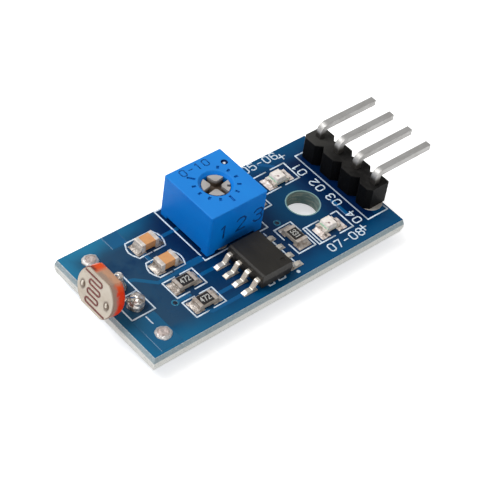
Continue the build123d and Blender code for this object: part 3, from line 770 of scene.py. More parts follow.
@dataclass(frozen=True)
class Ceramic:
    """Fired ceramic with fine speckle."""

    name: str
    colour: Colour
    speck: Colour
    roughness: float = 0.4
    scale: float = 7.0

    def make(self) -> bpy.types.Material:
        """The ceramic's material."""
        s = Shader(self.name)
        where = s.place()
        tone = s.noise(where, 1.3, 4.0, 0.6)
        specks = s.ramp(s.noise(where, self.scale, 3.0, 0.7), 0.55, 0.72)
        speckled = s.clamp(s.ramp(tone, 0.3, 0.8) * 0.45 + specks * 0.4)
        normal = s.bump(s.noise(where, self.scale), 0.008, 0.05)
        rough = self.roughness + (tone - 0.5) * 0.15
        return s.surface(s.paint(self.colour, (speckled, self.speck)), rough, normal)


@dataclass(frozen=True)
class DiscFace:
    """The disc's beige ceramic, with a dark rim of solder paste round each wire head."""

    name: str = "beige_disc"
    colour: Colour = shade(202, 191, 175)
    dusk: Colour = shade(184, 170, 152)
    ring: Colour = shade(104, 84, 70)
    half_ring: Point = (0.38, 0.6)
    drop: float = 0.15

    def make(self) -> bpy.types.Material:
        """The disc's material."""
        s = Shader(self.name)
        where = s.place()
        tone = s.ramp(s.noise(where, 0.8, 4.0, 0.6), 0.35, 0.75)
        near = DISC.from_heads(s, self.half_ring, self.drop) + (s.noise(where, 3.5) - 0.5) * 0.5
        colour = s.paint(self.colour, (tone, self.dusk), (s.fall(near, 0.7, 1.15) * 0.75, self.ring))
        fine = s.noise(where, 8.0, 3.0)
        return s.surface(colour, 0.34 + (fine - 0.5) * 0.2, s.bump(fine, 0.006),
                         {"Coat Weight": 0.3, "Coat Roughness": 0.15})


@dataclass(frozen=True)
class DiscResin:
    """The disc's resin: red-orange where thick, tan and grey where it is thin or has dust on it."""

    name: str = "orange_resin"
    red: Colour = shade(226, 52, 0)
    orange: Colour = shade(226, 82, 34)
    tan: Colour = shade(194, 148, 118)
    grey: Colour = shade(158, 136, 122)
    brown: Colour = shade(118, 60, 48)

    def make(self) -> bpy.types.Material:
        """The resin's material."""
        s = Shader(self.name)
        across, up, depth = DISC.axes(s)
        where = s.place()
        cloud = s.noise(where, 1.1, 4.0, 0.6) - 0.5
        waves = s.noise(where, 2.2, 2.0, 0.6) - 0.5
        turn = s.math("ARCTAN2", across, up) * math.degrees(1.0) + cloud * 16
        behind = depth + cloud * 0.35 + waves * 0.5
        dust_and_sheen = s.fall(behind, 0.3, 0.85) * s.ramp(turn, -20.0, -6.0)
        paste = s.fall(behind, 0.25, 0.6) * s.fall(turn, -26.0, -14.0)
        colour = s.paint(self.orange, (s.ramp(turn, -26.0, -8.0), self.tan),
                         (s.ramp(turn, 30.0, 46.0), self.orange), (s.ramp(turn, 44.0, 62.0), self.red),
                         (dust_and_sheen * 0.95, self.grey), (paste * 0.9, self.brown))
        lumps = s.noise(where, 1.6, 3.0, 0.5)
        return s.surface(colour, 0.34 + (lumps - 0.5) * 0.2, s.bump(lumps, 0.12, 0.12), {GLOSS: 0.15})


@dataclass(frozen=True)
class MilkyLens:
    """A lamp's milky lens, with its die and bond wire faint in the middle."""

    name: str
    centre: Point3
    die_aside: Point = (-0.15, -0.2)
    milk: Colour = shade(252, 244, 238)
    shadow: Colour = shade(230, 222, 210)
    die: Colour = shade(128, 84, 92)
    leaf: Colour = shade(138, 210, 172)

    def make(self) -> bpy.types.Material:
        """The lens's material."""
        s = Shader(self.name)
        where = s.place(self.centre)
        x, _, z = s.axes(where)
        cloud = s.noise(where, 2.4, 3.0)
        middle = (self.centre[0] + self.die_aside[0], self.centre[1] + self.die_aside[1])
        along, across, _ = s.axes(s.place((*middle, 0.0)))
        die_spot = s.fall(s.from_axis(*middle) + (cloud - 0.5) * 0.2, 0.07, 0.14)
        wire = s.fall(abs(across + along * 0.7), 0.02, 0.06) * s.fall(abs(along + 0.13), 0.1, 0.2)
        low = s.fall(z, 0.1, 0.3) * s.fall(x, -0.52, -0.36) * s.ramp(s.noise(where, 3.2, 2.0), 0.4, 0.55)
        colour = s.paint(self.milk, (s.ramp(cloud, 0.35, 0.7), self.shadow),
                         (s.clamp(die_spot * 0.7 + wire * 0.5), self.die), (low * 0.85, self.leaf))
        return s.surface(colour, 0.24 + (cloud - 0.5) * 0.15, s.bump(cloud, 0.02, 0.1),
                         {"IOR": 1.5, GLOSS: 0.6})


# Modelling

GLYPHS: dict[str, tuple[Line, ...]] = {
    "0": (((0, 1), (0, 5), (1, 6), (3, 6), (4, 5), (4, 1), (3, 0), (1, 0), (0, 1)),),
    "1": (((0.8, 5), (2, 6), (2, 0)),),
    "2": (((0, 5), (1, 6), (3, 6), (4, 5), (4, 4), (0, 0), (4, 0)),),
    "3": (((0, 5), (1, 6), (3, 6), (4, 5), (4, 4), (3, 3.1), (1.5, 3.1)),
          ((3, 3.1), (4, 2.2), (4, 1), (3, 0), (1, 0), (0, 1))),
    "4": (((3, 0), (3, 6), (0, 2), (4, 2)),),
    "5": (((4, 6), (0, 6), (0, 3.4), (1, 3.9), (3, 3.9), (4, 3), (4, 1), (3, 0), (1, 0), (0, 1)),),
    "6": (((4, 5), (3, 6), (1, 6), (0, 5), (0, 1), (1, 0), (3, 0), (4, 1), (4, 2.4), (3, 3.4), (0, 3.2)),),
    "7": (((0, 6), (4, 6), (1.5, 0)),),
    "8": (((1, 3.2), (0, 4.2), (0, 5), (1, 6), (3, 6), (4, 5), (4, 4.2), (3, 3.2), (1, 3.2), (0, 2.2), (0, 1),
           (1, 0), (3, 0), (4, 1), (4, 2.2), (3, 3.2)),),
    "+": (((2, 0.6), (2, 5.4)), ((-0.4, 3), (4.4, 3))),
    "-": (((0.6, 3), (3.4, 3)),),
    " ": (),
}
GLYPH_WIDTH = 4.0
GLYPH_HEIGHT = 6.0
GLYPH_STEP = 5.6


@dataclass(frozen=True)
class Face:
    """A flat face to print or mould on: its origin, and the directions of its right and up."""

    origin: Vector
    right: Vector
    up: Vector

    def matrix(self) -> Matrix:
        """The step from millimetres on the face to metres in the shared frame."""
        out = self.right.cross(self.up)
        turn = Matrix((self.right, self.up, out)).transposed().to_4x4()
        return Matrix.Translation(self.origin) @ turn @ Matrix.Scale(MM, 4)


def board_face(z: float = BOARD_TOP) -> Face:
    """The board's upper face, measured from its sensor edge and front edge."""
    return Face(spot(0.0, 0.0, z), Vector((1, 0, 0)), Vector((0, 1, 0)))


def under_face() -> Face:
    """The board's underside, measured from its sensor edge and its back edge as seen from below."""
    return Face(spot(0.0, BOARD_WIDTH, 0.0), Vector((1, 0, 0)), Vector((0, -1, 0)))


@dataclass
class Relief:
    """Low strokes and plates on one face, joined into one mesh."""

    name: str
    face: Face
    rise: float = 0.012
    mesh: bmesh.types.BMesh = field(default_factory=bmesh.new)

    def _flatten(self, made: Sequence[bmesh.types.BMVert], radius: float) -> None:
        """Press round strokes down to the relief's rise."""
        bmesh.ops.scale(self.mesh, vec=(1.0, 1.0, self.rise / radius), verts=list(made))
        for vert in made:
            for one in vert.link_faces:
                one.smooth = True

    def dot(self, x: float, y: float, radius: float) -> None:
        """A low round dot."""
        made = bmesh.ops.create_uvsphere(self.mesh, u_segments=12, v_segments=6, radius=radius,
                                         matrix=Matrix.Translation((x, y, 0.0)))
        self._flatten(made["verts"], radius)

    def stroke(self, points: Line, width: float) -> None:
        """A line of one width with round ends and corners.

        Args:
            points: Its corners on the face.
            width: Its width.
        """
        radius = width / 2
        for start, end in zip(points, points[1:]):
            first, last = Vector((*start, 0.0)), Vector((*end, 0.0))
            run = last - first
            turn = run.to_track_quat("Z", "Y").to_matrix().to_4x4()
            made = bmesh.ops.create_cone(self.mesh, cap_ends=True, segments=10, radius1=radius, radius2=radius,
                                         depth=run.length, matrix=Matrix.Translation((first + last) / 2) @ turn)
            self._flatten(made["verts"], radius)
        for x, y in points:
            self.dot(x, y, radius)

    def ring(self, x: float, y: float, radius: float, width: float, steps: int = 20) -> None:
        """A round line."""
        turns = [2 * math.pi * step / steps for step in range(steps + 1)]
        self.stroke([(x + radius * math.cos(turn), y + radius * math.sin(turn)) for turn in turns], width)

    def _plate(self, place: Matrix, length: float, width: float, slope: float) -> None:
        """A low oblong plate with sloping sides about a place.

        Args:
            place: Where its middle is, and how it is turned.
            length: Its length at its foot.
            width: Its width at its foot.
            slope: How far its sides slope inwards.
        """
        signs = ((-1, -1), (1, -1), (1, 1), (-1, 1))
        rims = []
        for inset, z in ((0.0, 0.0), (slope, self.rise)):
            half_length, half_width = length / 2 - inset, width / 2 - inset
            corners = [place @ Vector((i * half_length, j * half_width, z)) for i, j in signs]
            rims.append([self.mesh.verts.new(corner) for corner in corners])
        foot, crown = rims
        self.mesh.faces.new(foot[::-1])
        self.mesh.faces.new(crown)
        for a, b in ((0, 1), (1, 2), (2, 3), (3, 0)):
            self.mesh.faces.new((foot[a], foot[b], crown[b], crown[a]))

    def area(self, corners: tuple[float, float, float, float], slope: float = 0.06) -> None:
        """A low plate with sloping sides.

        Args:
            corners: Its left, right, lower and upper limits.
            slope: How far its sides slope inwards.
        """
        left, right, low, high = corners
        middle = Matrix.Translation(((left + right) / 2, (low + high) / 2, 0.0))
        self._plate(middle, right - left, high - low, slope)

    def trace(self, points: Line, width: float, slope: float = 0.05) -> None:
        """A flat-topped conductor with sloping sides and round corners.

        Args:
            points: Its corners on the face.
            width: Its width at its foot.
            slope: How far its sides slope inwards.
        """
        for start, end in zip(points, points[1:]):
            first, last = Vector((*start, 0.0)), Vector((*end, 0.0))
            run = last - first
            turn = Matrix.Rotation(math.atan2(run.y, run.x), 4, "Z")
            place = Matrix.Translation((first + last) / 2) @ turn
            self._plate(place, run.length + 2 * slope, width, slope)
        rise = self.rise * 1.04
        for x, y in points:
            bmesh.ops.create_cone(self.mesh, cap_ends=True, segments=16, radius1=width / 2,
                                  radius2=width / 2 - slope, depth=rise,
                                  matrix=Matrix.Translation((x, y, rise / 2)))

    def write(self, words: str, start: Point, height: float, width: float, turn: float = 0.0,
              step: float = GLYPH_STEP, squeeze: float = 1.0) -> None:
        """Draw numbers and signs with strokes.

        Args:
            words: The characters, each one in GLYPHS.
            start: The lower left corner of the first one.
            height: Their height.
            width: Their stroke width.
            turn: Degrees that the line of characters is turned.
            step: Distance from one to the next, in sixths of the height.
            squeeze: Their width as a part of the drawn one.
        """
        scale = height / GLYPH_HEIGHT
        cosine, sine = math.cos(math.radians(turn)) * scale, math.sin(math.radians(turn)) * scale
        for index, character in enumerate(words):
            for line in GLYPHS[character]:
                along = [((x + index * step) * squeeze, y) for x, y in line]
                self.stroke([(start[0] + x * cosine - y * sine, start[1] + x * sine + y * cosine)
                             for x, y in along], width)

    def finish(self, material: bpy.types.Material, slot: Slot = Slot.BOARD) -> None:
        """Place the relief and make it a piece of the module.

        Args:
            material: What it is made of.
            slot: Not used.
        """
        bmesh.ops.transform(self.mesh, matrix=self.face.matrix(), verts=self.mesh.verts[:])
        data = bpy.data.meshes.new(self.name)
        self.mesh.to_mesh(data)
        self.mesh.free()
        data.materials.append(material)
        piece = in_scene(self.name, data)
        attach(piece, MODULE)
        log.info("%s: %d faces", self.name, len(data.polygons))


@dataclass
class Reflow:
    """Turns the plain solids of solder into the uneven form of metal that has flowed and set."""

    voxel: float = 0.04
    relax: int = 6
    wobble: float = 0.05
    blots: float = 0.45
    lumps: tuple[tuple[Point3, Point3], ...] = ()
    press: float = 1.0

    def _plain(self, node: str) -> bpy.types.Mesh:
        """A pressed copy of one CAD node's mesh, with the lumps added.

        Args:
            node: The CAD node's name.

        Returns:
            The mesh.
        """
        data = frame["nodes"][node].data.copy()
        data.name = f"{node}_flowed"
        work = bmesh.new()
        work.from_mesh(data)
        bmesh.ops.remove_doubles(work, verts=work.verts[:], dist=1e-7)
        top = BOARD_TOP * MM
        for vert in work.verts:
            if vert.co.z > top:
                vert.co.z = top + (vert.co.z - top) * self.press
        for centre, radii in self.lumps:
            size = Matrix.Diagonal((*(Vector(radii) * MM), 1.0))
            bmesh.ops.create_uvsphere(work, u_segments=20, v_segments=12, radius=1.0,
                                      matrix=Matrix.Translation(spot(*centre)) @ size)
        work.to_mesh(data)
        work.free()
        return data

    def shape(self, node: str, material: bpy.types.Material) -> None:
        """Make the uneven piece that stands for one CAD node.

        Args:
            node: The CAD node's name.
            material: The metal.
        """
        piece = in_scene(f"{node}_flowed", self._plain(node))
        texture = bpy.data.textures.new(f"{node}_blots", "CLOUDS")
        texture.noise_scale = self.blots * MM
        texture.noise_depth = 1
        steps = {
            "REMESH": {"mode": "VOXEL", "voxel_size": self.voxel * MM},
            "SMOOTH": {"factor": 0.5, "iterations": self.relax},
            "DISPLACE": {"texture": texture, "texture_coords": "LOCAL", "strength": self.wobble * MM,
                         "mid_level": 0.5},
        }
        for kind, settings in steps.items():
            step = piece.modifiers.new(kind, kind)
            for name, option in settings.items():
                setattr(step, name, option)
        graph = bpy.context.evaluated_depsgraph_get()
        made = bpy.data.meshes.new_from_object(piece.evaluated_get(graph))
        piece.modifiers.clear()
        piece.data = made
        made.shade_smooth()
        made.materials.clear()
        made.materials.append(material)
        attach(piece, MODULE)
        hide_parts(node)
        log.info("%s: %d faces", piece.name, len(made.polygons))


# Sub-assemblies

@dataclass
class Board:
    """The laminate with its copper, print and tinned places."""

    line: float = 0.155
    trace: float = 0.42
    wider_below: float = 1.3
    copper_rise: float = 0.032
    letter: float = 0.88
    letter_line: float = 0.14
    letter_step: float = 6.2
    via_ring: float = 0.3
    vias: tuple[Point, ...] = ((19.66, 6.38), (5.48, 3.98), (5.8, 13.09))

    def copper(self) -> None:
        """The traces and areas that show through the mask."""
        relief = Relief("copper_under_mask", board_face(), self.copper_rise)
        relief.area((0.95, 3.34, 0.22, 4.3))
        relief.area((4.88, 6.6, 12.18, 13.98))
        runs = (
            ((3.74, 8.36), (4.2, 8.2), (5.75, 6.72), (8.6, 6.72), (10.95, 6.72)),
            ((8.0, 7.1), (10.9, 7.05)),
            ((9.2, 5.32), (12.2, 5.32)),
            ((9.2, 2.66), (12.2, 2.66)),
            ((7.2, 1.75), (7.62, 1.35), (12.2, 1.35)),
            ((5.92, 3.98), (7.1, 3.98)),
            ((6.9, 10.4), (6.9, 8.8)),
            ((8.6, 11.05), (11.6, 11.05)),
            ((26.03, 5.6), (26.03, 3.6)),
            ((23.5, 13.3), (24.5, 12.3)),
        )
        for run in runs:
            relief.trace(run, self.trace)
        relief.finish(MaskedCopper().make())
        rings = Relief("via_rings", board_face(), self.copper_rise)
        # Painted shade: dark discs set down in the via holes stand for their dark depth.
        hole_shades = Relief("via_hole_shades", board_face(BOARD_TOP - 0.03), 0.01)
        for x, y in self.vias:
            rings.ring(x, y, self.via_ring, 0.16)
            hole_shades.dot(x, y, 0.21)
        rings.finish(MaskedCopper("mask_over_ring", shade(36, 112, 142), shade(44, 118, 150)).make())
        hole_shades.finish(Moulding("via_shade", shade(0, 16, 42), shade(4, 30, 62), 0.4).make())

    def underside(self) -> None:
        """Traces below the board that join its pins, in mirrored places."""
        relief = Relief("copper_under_mask_below", under_face(), self.copper_rise)
        runs = (
            ((2.37, 5.73), (2.37, 3.6), (5.07, 0.9), (25.0, 0.9), (28.5, 2.6)),
            ((2.37, 8.27), (6.2, 8.27), (8.6, 9.4), (18.4, 9.4), (19.42, 8.0)),
            ((13.43, 8.36), (17.0, 11.9), (26.0, 11.9), (28.5, 10.46)),
            ((15.97, 3.9), (19.4, 3.9), (25.2, 3.9), (28.5, 5.38)),
            ((13.43, 1.36), (9.0, 2.4), (7.2, 6.6), (5.7, 9.65)),
            ((28.5, 7.92), (26.2, 8.9), (24.6, 10.6), (13.43, 10.6)),
        )
        for run in runs:
            relief.trace(run, self.trace * self.wider_below)
        for x, y in self.vias:
            relief.ring(x, BOARD_WIDTH - y, self.via_ring, 0.17)
        relief.finish(MaskedCopper("mask_over_copper_below").make())

    def print_lines(self, ink: bpy.types.Material) -> None:
        """The printed outlines of the parts.

        Args:
            ink: What they are printed with.
        """
        relief = Relief("printed_outlines", board_face(), INK_RISE)
        lines: list[Line] = [
            [(1.04, 4.47), (3.63, 4.47), (3.63, 9.55), (1.04, 9.55), (1.04, 4.47)],
            [(1.04, 7.08), (3.55, 7.08)],
            [(11.04, 13.9), (11.04, 7.17)],
            [(11.0, 6.82), (11.0, 6.45), (18.56, 6.45), (18.56, 13.9), (11.04, 13.9)],
            [(13.8, 1.1), (13.82, 0.76), (14.4, 0.74), (14.44, 1.0)],
            [(15.01, 1.1), (14.99, 0.76), (15.7, 0.74), (15.8, 1.0)],
            [(23.91, 12.18), (25.62, 12.18), (25.58, 9.8), (23.81, 9.8)],
            [(21.4, 12.16), (23.27, 12.16)],
            [(21.4, 9.81), (23.2, 9.81)],
            [(23.1, 4.41), (21.17, 4.43), (21.13, 2.08), (23.1, 2.06)],
            [(21.5, 4.38), (21.46, 2.12)],
            [(24.68, 4.41), (25.43, 4.43), (25.4, 2.03), (23.73, 2.05)],
            [(27.9, 12.25), (27.23, 12.28), (27.2, 1.89), (29.76, 1.88), (29.7, 2.97)],
            [(29.7, 11.4), (29.74, 12.28), (27.9, 12.25)],
        ]
        for low, high in ((6.05, 5.66), (4.78, 4.31), (3.49, 3.03), (2.22, 1.7)):
            lines.append([(17.7, low), (17.7, high)])
        lines += self.brackets(5.97, 9.38, 4.28, 6.43, (7.37, 8.02))
        lines += self.brackets(5.97, 9.37, 1.56, 3.62, (7.36, 7.97))
        lines += self.brackets(18.73, 20.81, 2.25, 5.79, (3.64, 4.35), upright=True)
        lines += self.brackets(18.73, 20.81, 8.47, 12.0, (9.86, 10.57), upright=True)
        lines += self.capsule(5.83, 9.59, 10.0, 12.17)
        lines += self.capsule(5.9, 9.55, 7.11, 9.2)
        for line in lines:
            relief.stroke(line, self.line)
        relief.dot(17.16, 0.61, 0.2)
        relief.finish(ink)

    @staticmethod
    def brackets(left: float, right: float, low: float, high: float, gap: Point,
                 upright: bool = False) -> list[Line]:
        """An oblong outline, open in the middle of its long sides.

        Args:
            left: Its left limit.
            right: Its right limit.
            low: Its lower limit.
            high: Its upper limit.
            gap: Where the gap starts and ends along the long sides.
            upright: Whether the long sides are upright.

        Returns:
            The lines of its two halves.
        """
        if upright:
            ends = ((gap[1], high), (gap[0], low))
            return [[(left, near), (left, far), (right, far), (right, near)] for near, far in ends]
        ends = ((gap[0], left), (gap[1], right))
        return [[(near, high), (far, high), (far, low), (near, low)] for near, far in ends]

    @staticmethod
    def capsule(left: float, right: float, low: float, high: float) -> list[Line]:
        """A capacitor's outline with bent ends, open in the middle of its near side.

        Args:
            left: Its left limit.
            right: Its right limit.
            low: Its lower limit.
            high: Its upper limit.

        Returns:
            The lines of its two parts.
        """
        middle, rise = (left + right) / 2, high - low
        near = [(middle - 0.08, low), (left + 0.42, low), (left + 0.1, low + 0.3 * rise),
                (left, low + 0.5 * rise), (left + 0.1, low + 0.72 * rise), (left + 0.42, high)]
        far = [(middle + 0.2, low), (right - 0.36, low), (right - 0.08, low + 0.28 * rise),
               (right, low + 0.5 * rise), (right - 0.08, low + 0.72 * rise), (right - 0.36, high)]
        return [near + [(right - 0.36, high)], far]

    def print_numbers(self, ink: bpy.types.Material) -> None:
        """Plain numbers beside the pins and lamps, and the signs of the poles.

        Args:
            ink: What they are printed with.
        """
        relief = Relief("printed_numbers", board_face(), INK_RISE)
        for number, y in (("04", 2.15), ("03", 4.95), ("02", 7.3), ("01", 9.9)):
            relief.write(number, (26.72, y), self.letter, self.letter_line, 90.0, self.letter_step)
        for numbers, y in (("05-06", 13.02), ("07-08", 0.68)):
            relief.write(numbers, (21.5, y), self.letter, self.letter_line, 0.0, self.letter_step)
        for start in ((25.75, 12.5), (25.72, 0.92)):
            relief.write("+", start, 0.9, self.letter_line)
        relief.stroke([(2.32, 4.15), (2.32, 3.2)], 0.2)
        relief.finish(ink)

    def dress(self) -> None:
        """Build everything printed and etched on the board."""
        ink = Ink("white_ink", shade(226, 238, 248), shade(176, 202, 222)).make()
        self.copper()
        self.underside()
        self.print_lines(ink)
        self.print_numbers(ink)


@dataclass
class Resistors:
    """The printed value numbers on the chip resistors' coats."""

    digit: float = 0.56
    squeeze: float = 0.7
    line: float = 0.085
    lying: tuple[tuple[str, float, float], ...] = (("472", 7.62, 5.32), ("472", 7.68, 2.57))
    upright: tuple[tuple[str, float, float], ...] = (("331", 19.78, 4.02), ("331", 19.78, 10.23))

    def dress(self) -> None:
        """Print the numbers in the middle of each coat."""
        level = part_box("resistor_1_coat")[1][2] / MM
        relief = Relief("resistor_numbers", board_face(level), 0.008)
        width = (2 * GLYPH_STEP + GLYPH_WIDTH) * self.digit / GLYPH_HEIGHT * self.squeeze
        for words, x, y in self.lying:
            start = (x - width / 2, y - self.digit / 2)
            relief.write(words, start, self.digit, self.line, squeeze=self.squeeze)
        for words, x, y in self.upright:
            start = (x - self.digit / 2, y + width / 2)
            relief.write(words, start, self.digit, self.line, -90.0, squeeze=self.squeeze)
        relief.finish(Ink("code_ink", shade(206, 206, 200), shade(150, 150, 146)).make(), Slot.COAT)


@dataclass
class Trimmer:
    """Numbers moulded into the trimmer's top and side."""

    front: float = -0.3
    top_digit: float = 0.8
    side_digit: float = 1.5

    def dress(self, plastic: bpy.types.Material, dark: bpy.types.Material) -> None:
        """Mould the dial's numbers on top and the pins' numbers on the side.

        Args:
            plastic: The housing's plastic, darker with painted shade, for the raised dial numbers.
            dark: The same plastic with stronger painted shade where it is stamped.
        """
        top = Relief("dial_numbers", board_face(TRIMMER_TOP), 0.005)
        top.write("0-10", (12.7, 12.35), self.top_digit, 0.13, 0.0, 6.6)
        top.finish(plastic, Slot.HOUSING)
        face = Face(Vector((TRIMMER_SIDE, self.front, BOARD_TOP)) * MM, Vector((1, 0, 0)), Vector((0, 0, 1)))
        side = Relief("pin_numbers", face, 0.01)
        side.write("1 2 3", (1.2, 1.5), self.side_digit, 0.2, 0.0, 4.1)
        side.finish(dark, Slot.HOUSING)


HOUSING = HousingBlue("trimmer_blue", shade(0, 118, 214), shade(0, 130, 224), 0.45, 7.0, 0.006, 0.16, 0.08)
# Darker copies of the housing blue: painted shade on the stamped side numbers and the raised dial numbers.
STAMPED_SHADE = Moulding("trimmer_blue_stamped_shade", shade(0, 68, 136), shade(0, 78, 150), 0.5, 9.0, 0.004, 0.15)
RAISED_SHADE = Moulding("trimmer_blue_raised_shade", shade(0, 96, 184), shade(0, 112, 200), 0.4, 9.0, 0.004, 0.16)

FINISHES: dict[Slot, Finish] = {
    Slot.BOARD: SolderMask(),
    Slot.DISC: DiscFace(),
    Slot.TRACK: Ceramic("maroon_track", shade(116, 44, 32), shade(84, 30, 26), 0.35),
    Slot.RESIN: DiscResin(),
    Slot.WIRE: HeadedWire("tinned_wire", shade(214, 208, 198), shade(160, 148, 134), 0.24, 3.0, 0.03),
    Slot.HOUSING: HOUSING,
    Slot.ROTOR: RotorGrey(),
    Slot.SEAL: Moulding("black_rubber", shade(24, 24, 24), shade(40, 40, 40), 0.7),
    Slot.WIPER: Tin("spring_bronze", shade(196, 164, 110), shade(160, 128, 82), 0.25, 3.0, 0.01),
    Slot.ELEMENT: Ceramic("white_element", shade(230, 228, 220), shade(200, 196, 186)),
    Slot.POTTING: Moulding("sealing_resin", shade(34, 60, 92), shade(52, 80, 112), 0.3),
    Slot.CHIP: Moulding("chip_moulding", shade(34, 32, 29), shade(54, 51, 46), 0.42, 12.0, 0.006, 0.28, 0.04),
    Slot.CHIP_LEADS: Tin("chip_lead_tin", shade(232, 226, 214), shade(202, 192, 178), 0.38, 1.6, 0.05, 0.2,
                         matte=0.45),
    Slot.CAPACITOR: Ceramic("tan_ceramic", shade(222, 162, 106), shade(208, 138, 82), 0.36, 5.0),
    Slot.TERMINALS: Tin("terminal_tin", shade(240, 232, 224), shade(198, 184, 170), 0.4, 1.8, 0.05, 0.3,
                        matte=0.8),
    Slot.PLATE: Ceramic("white_plate", shade(184, 174, 160), shade(118, 102, 86)),
    Slot.COAT: Moulding("black_coat", shade(36, 33, 32), shade(54, 51, 48), 0.4, 10.0, 0.004, 0.3, 0.03),
    Slot.LAMP_BASE: Ceramic("lamp_base", shade(214, 210, 196), shade(150, 186, 160), 0.4, 3.5),
    Slot.LAMP_DIE: Ceramic("lamp_die", shade(150, 120, 120), shade(110, 84, 84), 0.3),
    Slot.HEADER: HeaderBlack("header_black", shade(3, 3, 4), shade(12, 11, 10), 0.55, 8.0, 0.014, 0.1, 0.06),
    Slot.PINS: PinPlating("pin_plating", shade(190, 189, 187), shade(174, 172, 169), 0.5, 2.0, 0.012,
                          stretch=(0.35, 1.0, 1.0), edge=0.05, matte=0.35),
    Slot.SOLDER: Tin("flowed_solder", shade(230, 224, 216), shade(192, 182, 170), 0.36, 1.4, 0.06, 0.35,
                     matte=0.6),
}
RESISTOR_ENDS = Tin("resistor_end_tin", shade(206, 196, 186), shade(158, 144, 130), 0.4, 1.8, 0.05, 0.3,
                    matte=0.8)
JOINT_SOLDER = Tin("joint_solder", shade(232, 226, 220), shade(104, 90, 78), 0.27, 1.6, 0.045, 0.6,
                   (1.5, 1.5, 0.6), matte=0.32)
LAND_SOLDER = Tin("land_solder", shade(190, 182, 174), shade(104, 90, 78), 0.34, 2.6, 0.1, 0.3, matte=0.72)
LAMP_SOLDER = LampSolder("lamp_land_solder", shade(242, 232, 226), shade(180, 162, 150), 0.4, 1.6, 0.08)


@dataclass
class CadNodes:
    """Gives every CAD node its procedural material."""

    lamps: dict[str, Point3] = field(default_factory=lambda: {
        "power_led_lens": (0.0, 3.75, 1.91), "signal_led_lens": (-0.2, -3.65, 1.91)})

    def dress(self) -> None:
        """Put a material on each node."""
        made = {slot: finish.make() for slot, finish in FINISHES.items()}
        ends = RESISTOR_ENDS.make()
        slots = {part["node"]: Slot(part["material_slot"]) for part in frame["record"]["subparts"]}
        for name, node in frame["nodes"].items():
            if name in self.lamps:
                material = MilkyLens(f"{name}_milk", self.lamps[name]).make()
            elif name.startswith("resistor") and slots[name] is Slot.TERMINALS:
                material = ends
            else:
                material = made[slots[name]]
            node.data.materials.clear()
            node.data.materials.append(material)
        log.info("%d CAD nodes dressed in %d finishes", len(slots), len(made))


@dataclass
class SolderWork:
    """The flowed forms of the solder joints."""

    lumps: tuple[tuple[Point3, Point3], ...] = (
        ((2.42, 5.7, 2.0), (0.8, 0.82, 0.5)), ((2.48, 5.66, 2.42), (0.68, 0.76, 0.42)),
        ((2.45, 8.27, 3.0), (0.42, 0.46, 0.44)))

    def dress(self) -> None:
        """Replace the plain joints by uneven ones."""
        Reflow(0.05, 36, 0.22, 0.8, self.lumps).shape("sensor_solder", JOINT_SOLDER.make())
        Reflow(0.05, 4, 0.16, 0.4, press=0.8).shape("spare_pad_solder", SparePad().make())
        lands = Reflow(0.035, 5, 0.1, 0.5)
        dull = LAND_SOLDER.make()
        lands.shape("resistor_solder", dull)
        lands.shape("capacitor_solder", dull)
        lands.shape("led_solder", LAMP_SOLDER.make())


# Studio

@dataclass(frozen=True)
class Lamp:
    """A soft square lamp that faces the board, in metres.

    Its level is how bright it makes a white face turned to it.
    """

    name: str
    toward: Point3
    distance: float
    size: float
    level: float
    aim: Point3 = (-0.0085, 0.0, 0.002)

    def build(self) -> None:
        """Hang the lamp."""
        data = bpy.data.lights.new(self.name, "AREA")
        data.shape = "SQUARE"
        data.size = self.size
        data.energy = self.level * math.pi ** 2 * self.distance ** 2
        lamp = in_scene(self.name, data)
        direction = Vector(self.toward).normalized()
        lamp.location = Vector(self.aim) + direction * self.distance
        lamp.rotation_euler = direction.to_track_quat("Z", "Y").to_euler()


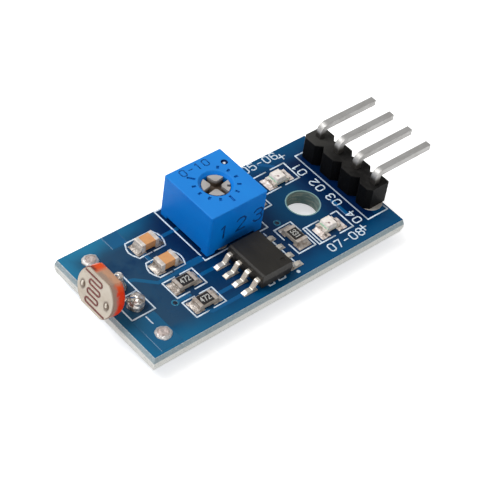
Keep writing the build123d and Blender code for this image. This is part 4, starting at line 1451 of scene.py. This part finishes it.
@dataclass
class Studio:
    """The floor, the soft light and the camera."""

    floor_level: float = -1.2
    eye: Point3 = (-91.4908, -77.1035, 114.4756)
    forward: Point3 = (0.52299945, 0.47284016, -0.70915003)
    above: Point3 = (0.40379966, 0.59525849, 0.69470366)
    focal: float = 125.63
    sky: float = 0.45
    glow: float = 0.6
    lamps: tuple[Lamp, ...] = (Lamp("key", (-0.36, 0.42, 0.83), 0.45, 0.3, 0.8),
                               Lamp("front", (-0.45, -1.0, 0.3), 0.4, 0.25, 0.24))

    def floor(self) -> None:
        """A wide plain floor that shows white and keeps the object's shadow."""
        work = bmesh.new()
        bmesh.ops.create_grid(work, x_segments=2, y_segments=2, size=3.0,
                              matrix=Matrix.Translation((0.0, 0.0, self.floor_level * MM)))
        data = bpy.data.meshes.new("floor")
        work.to_mesh(data)
        work.free()
        s = Shader("white_floor")
        tone = s.noise(s.place(), 0.02, 2.0)
        colour = s.paint((0.84, 0.84, 0.84, 1.0), (tone, (0.8, 0.8, 0.8, 1.0)))
        seen = s.ray("Camera") | s.ray("Glossy") | s.ray("Transmission")
        matte = s.value("ShaderNodeBsdfDiffuse", 0, {}, {"Color": colour})
        glow = s.value("ShaderNodeEmission", 0, {}, {"Strength": self.glow})
        white = s.value("ShaderNodeAddShader", 0, {}, {0: matte, 1: glow})
        either = s.value("ShaderNodeMixShader", 0, {}, {0: seen, 1: matte, 2: white})
        s.node("ShaderNodeOutputMaterial", {}, {0: either})
        data.materials.append(s.owner)
        plane = in_scene("floor", data)

    def world(self) -> None:
        """A plain sky: grey for light, white where it is seen as the background."""
        s = Shader("studio", world=True)
        bpy.context.scene.world = s.owner
        _, _, up = s.axes(s.value("ShaderNodeTexCoord", "Generated"))
        height = s.value("ShaderNodeMapRange", 0, {"interpolation_type": "SMOOTHSTEP"},
                         {"Value": up, "From Min": 0.1, "From Max": 0.5, "To Min": 1.0, "To Max": self.sky})
        mirrored = s.value("ShaderNodeMix", 0, {}, {"Factor": s.ray("Glossy"), "A": self.sky, "B": height})
        seen = s.ray("Camera") | s.ray("Transmission")
        level = s.value("ShaderNodeMix", 0, {}, {"Factor": seen, "A": mirrored, "B": 1.0})
        light = s.value("ShaderNodeBackground", 0, {}, {"Strength": level})
        s.node("ShaderNodeOutputWorld", {}, {0: light})

    def camera(self) -> None:
        """The camera at the photograph's place, angle and focal length."""
        data = bpy.data.cameras.new("camera")
        data.sensor_width = 36.0
        data.lens = self.focal
        data.clip_start = 0.005
        data.clip_end = 20.0
        camera = in_scene("camera", data)
        forward, above = Vector(self.forward), Vector(self.above)
        turn = Matrix((forward.cross(above), above, -forward)).transposed().to_4x4()
        camera.matrix_world = Matrix.Translation(Vector(self.eye) * MM) @ turn
        bpy.context.scene.camera = camera

    def build(self) -> None:
        """Set up the whole studio."""
        bpy.context.scene.view_settings.view_transform = "Standard"
        self.floor()
        self.world()
        for lamp in self.lamps:
            lamp.build()
        self.camera()


def main() -> None:
    """Build the studio, dress the CAD nodes and add the finer pieces."""
    logging.basicConfig(level=logging.INFO, format="%(name)s: %(message)s")
    Studio().build()
    CadNodes().dress()
    Board().dress()
    Resistors().dress()
    Trimmer().dress(RAISED_SHADE.make(), STAMPED_SHADE.make())
    SolderWork().dress()


if __name__ == "__main__":
    main()
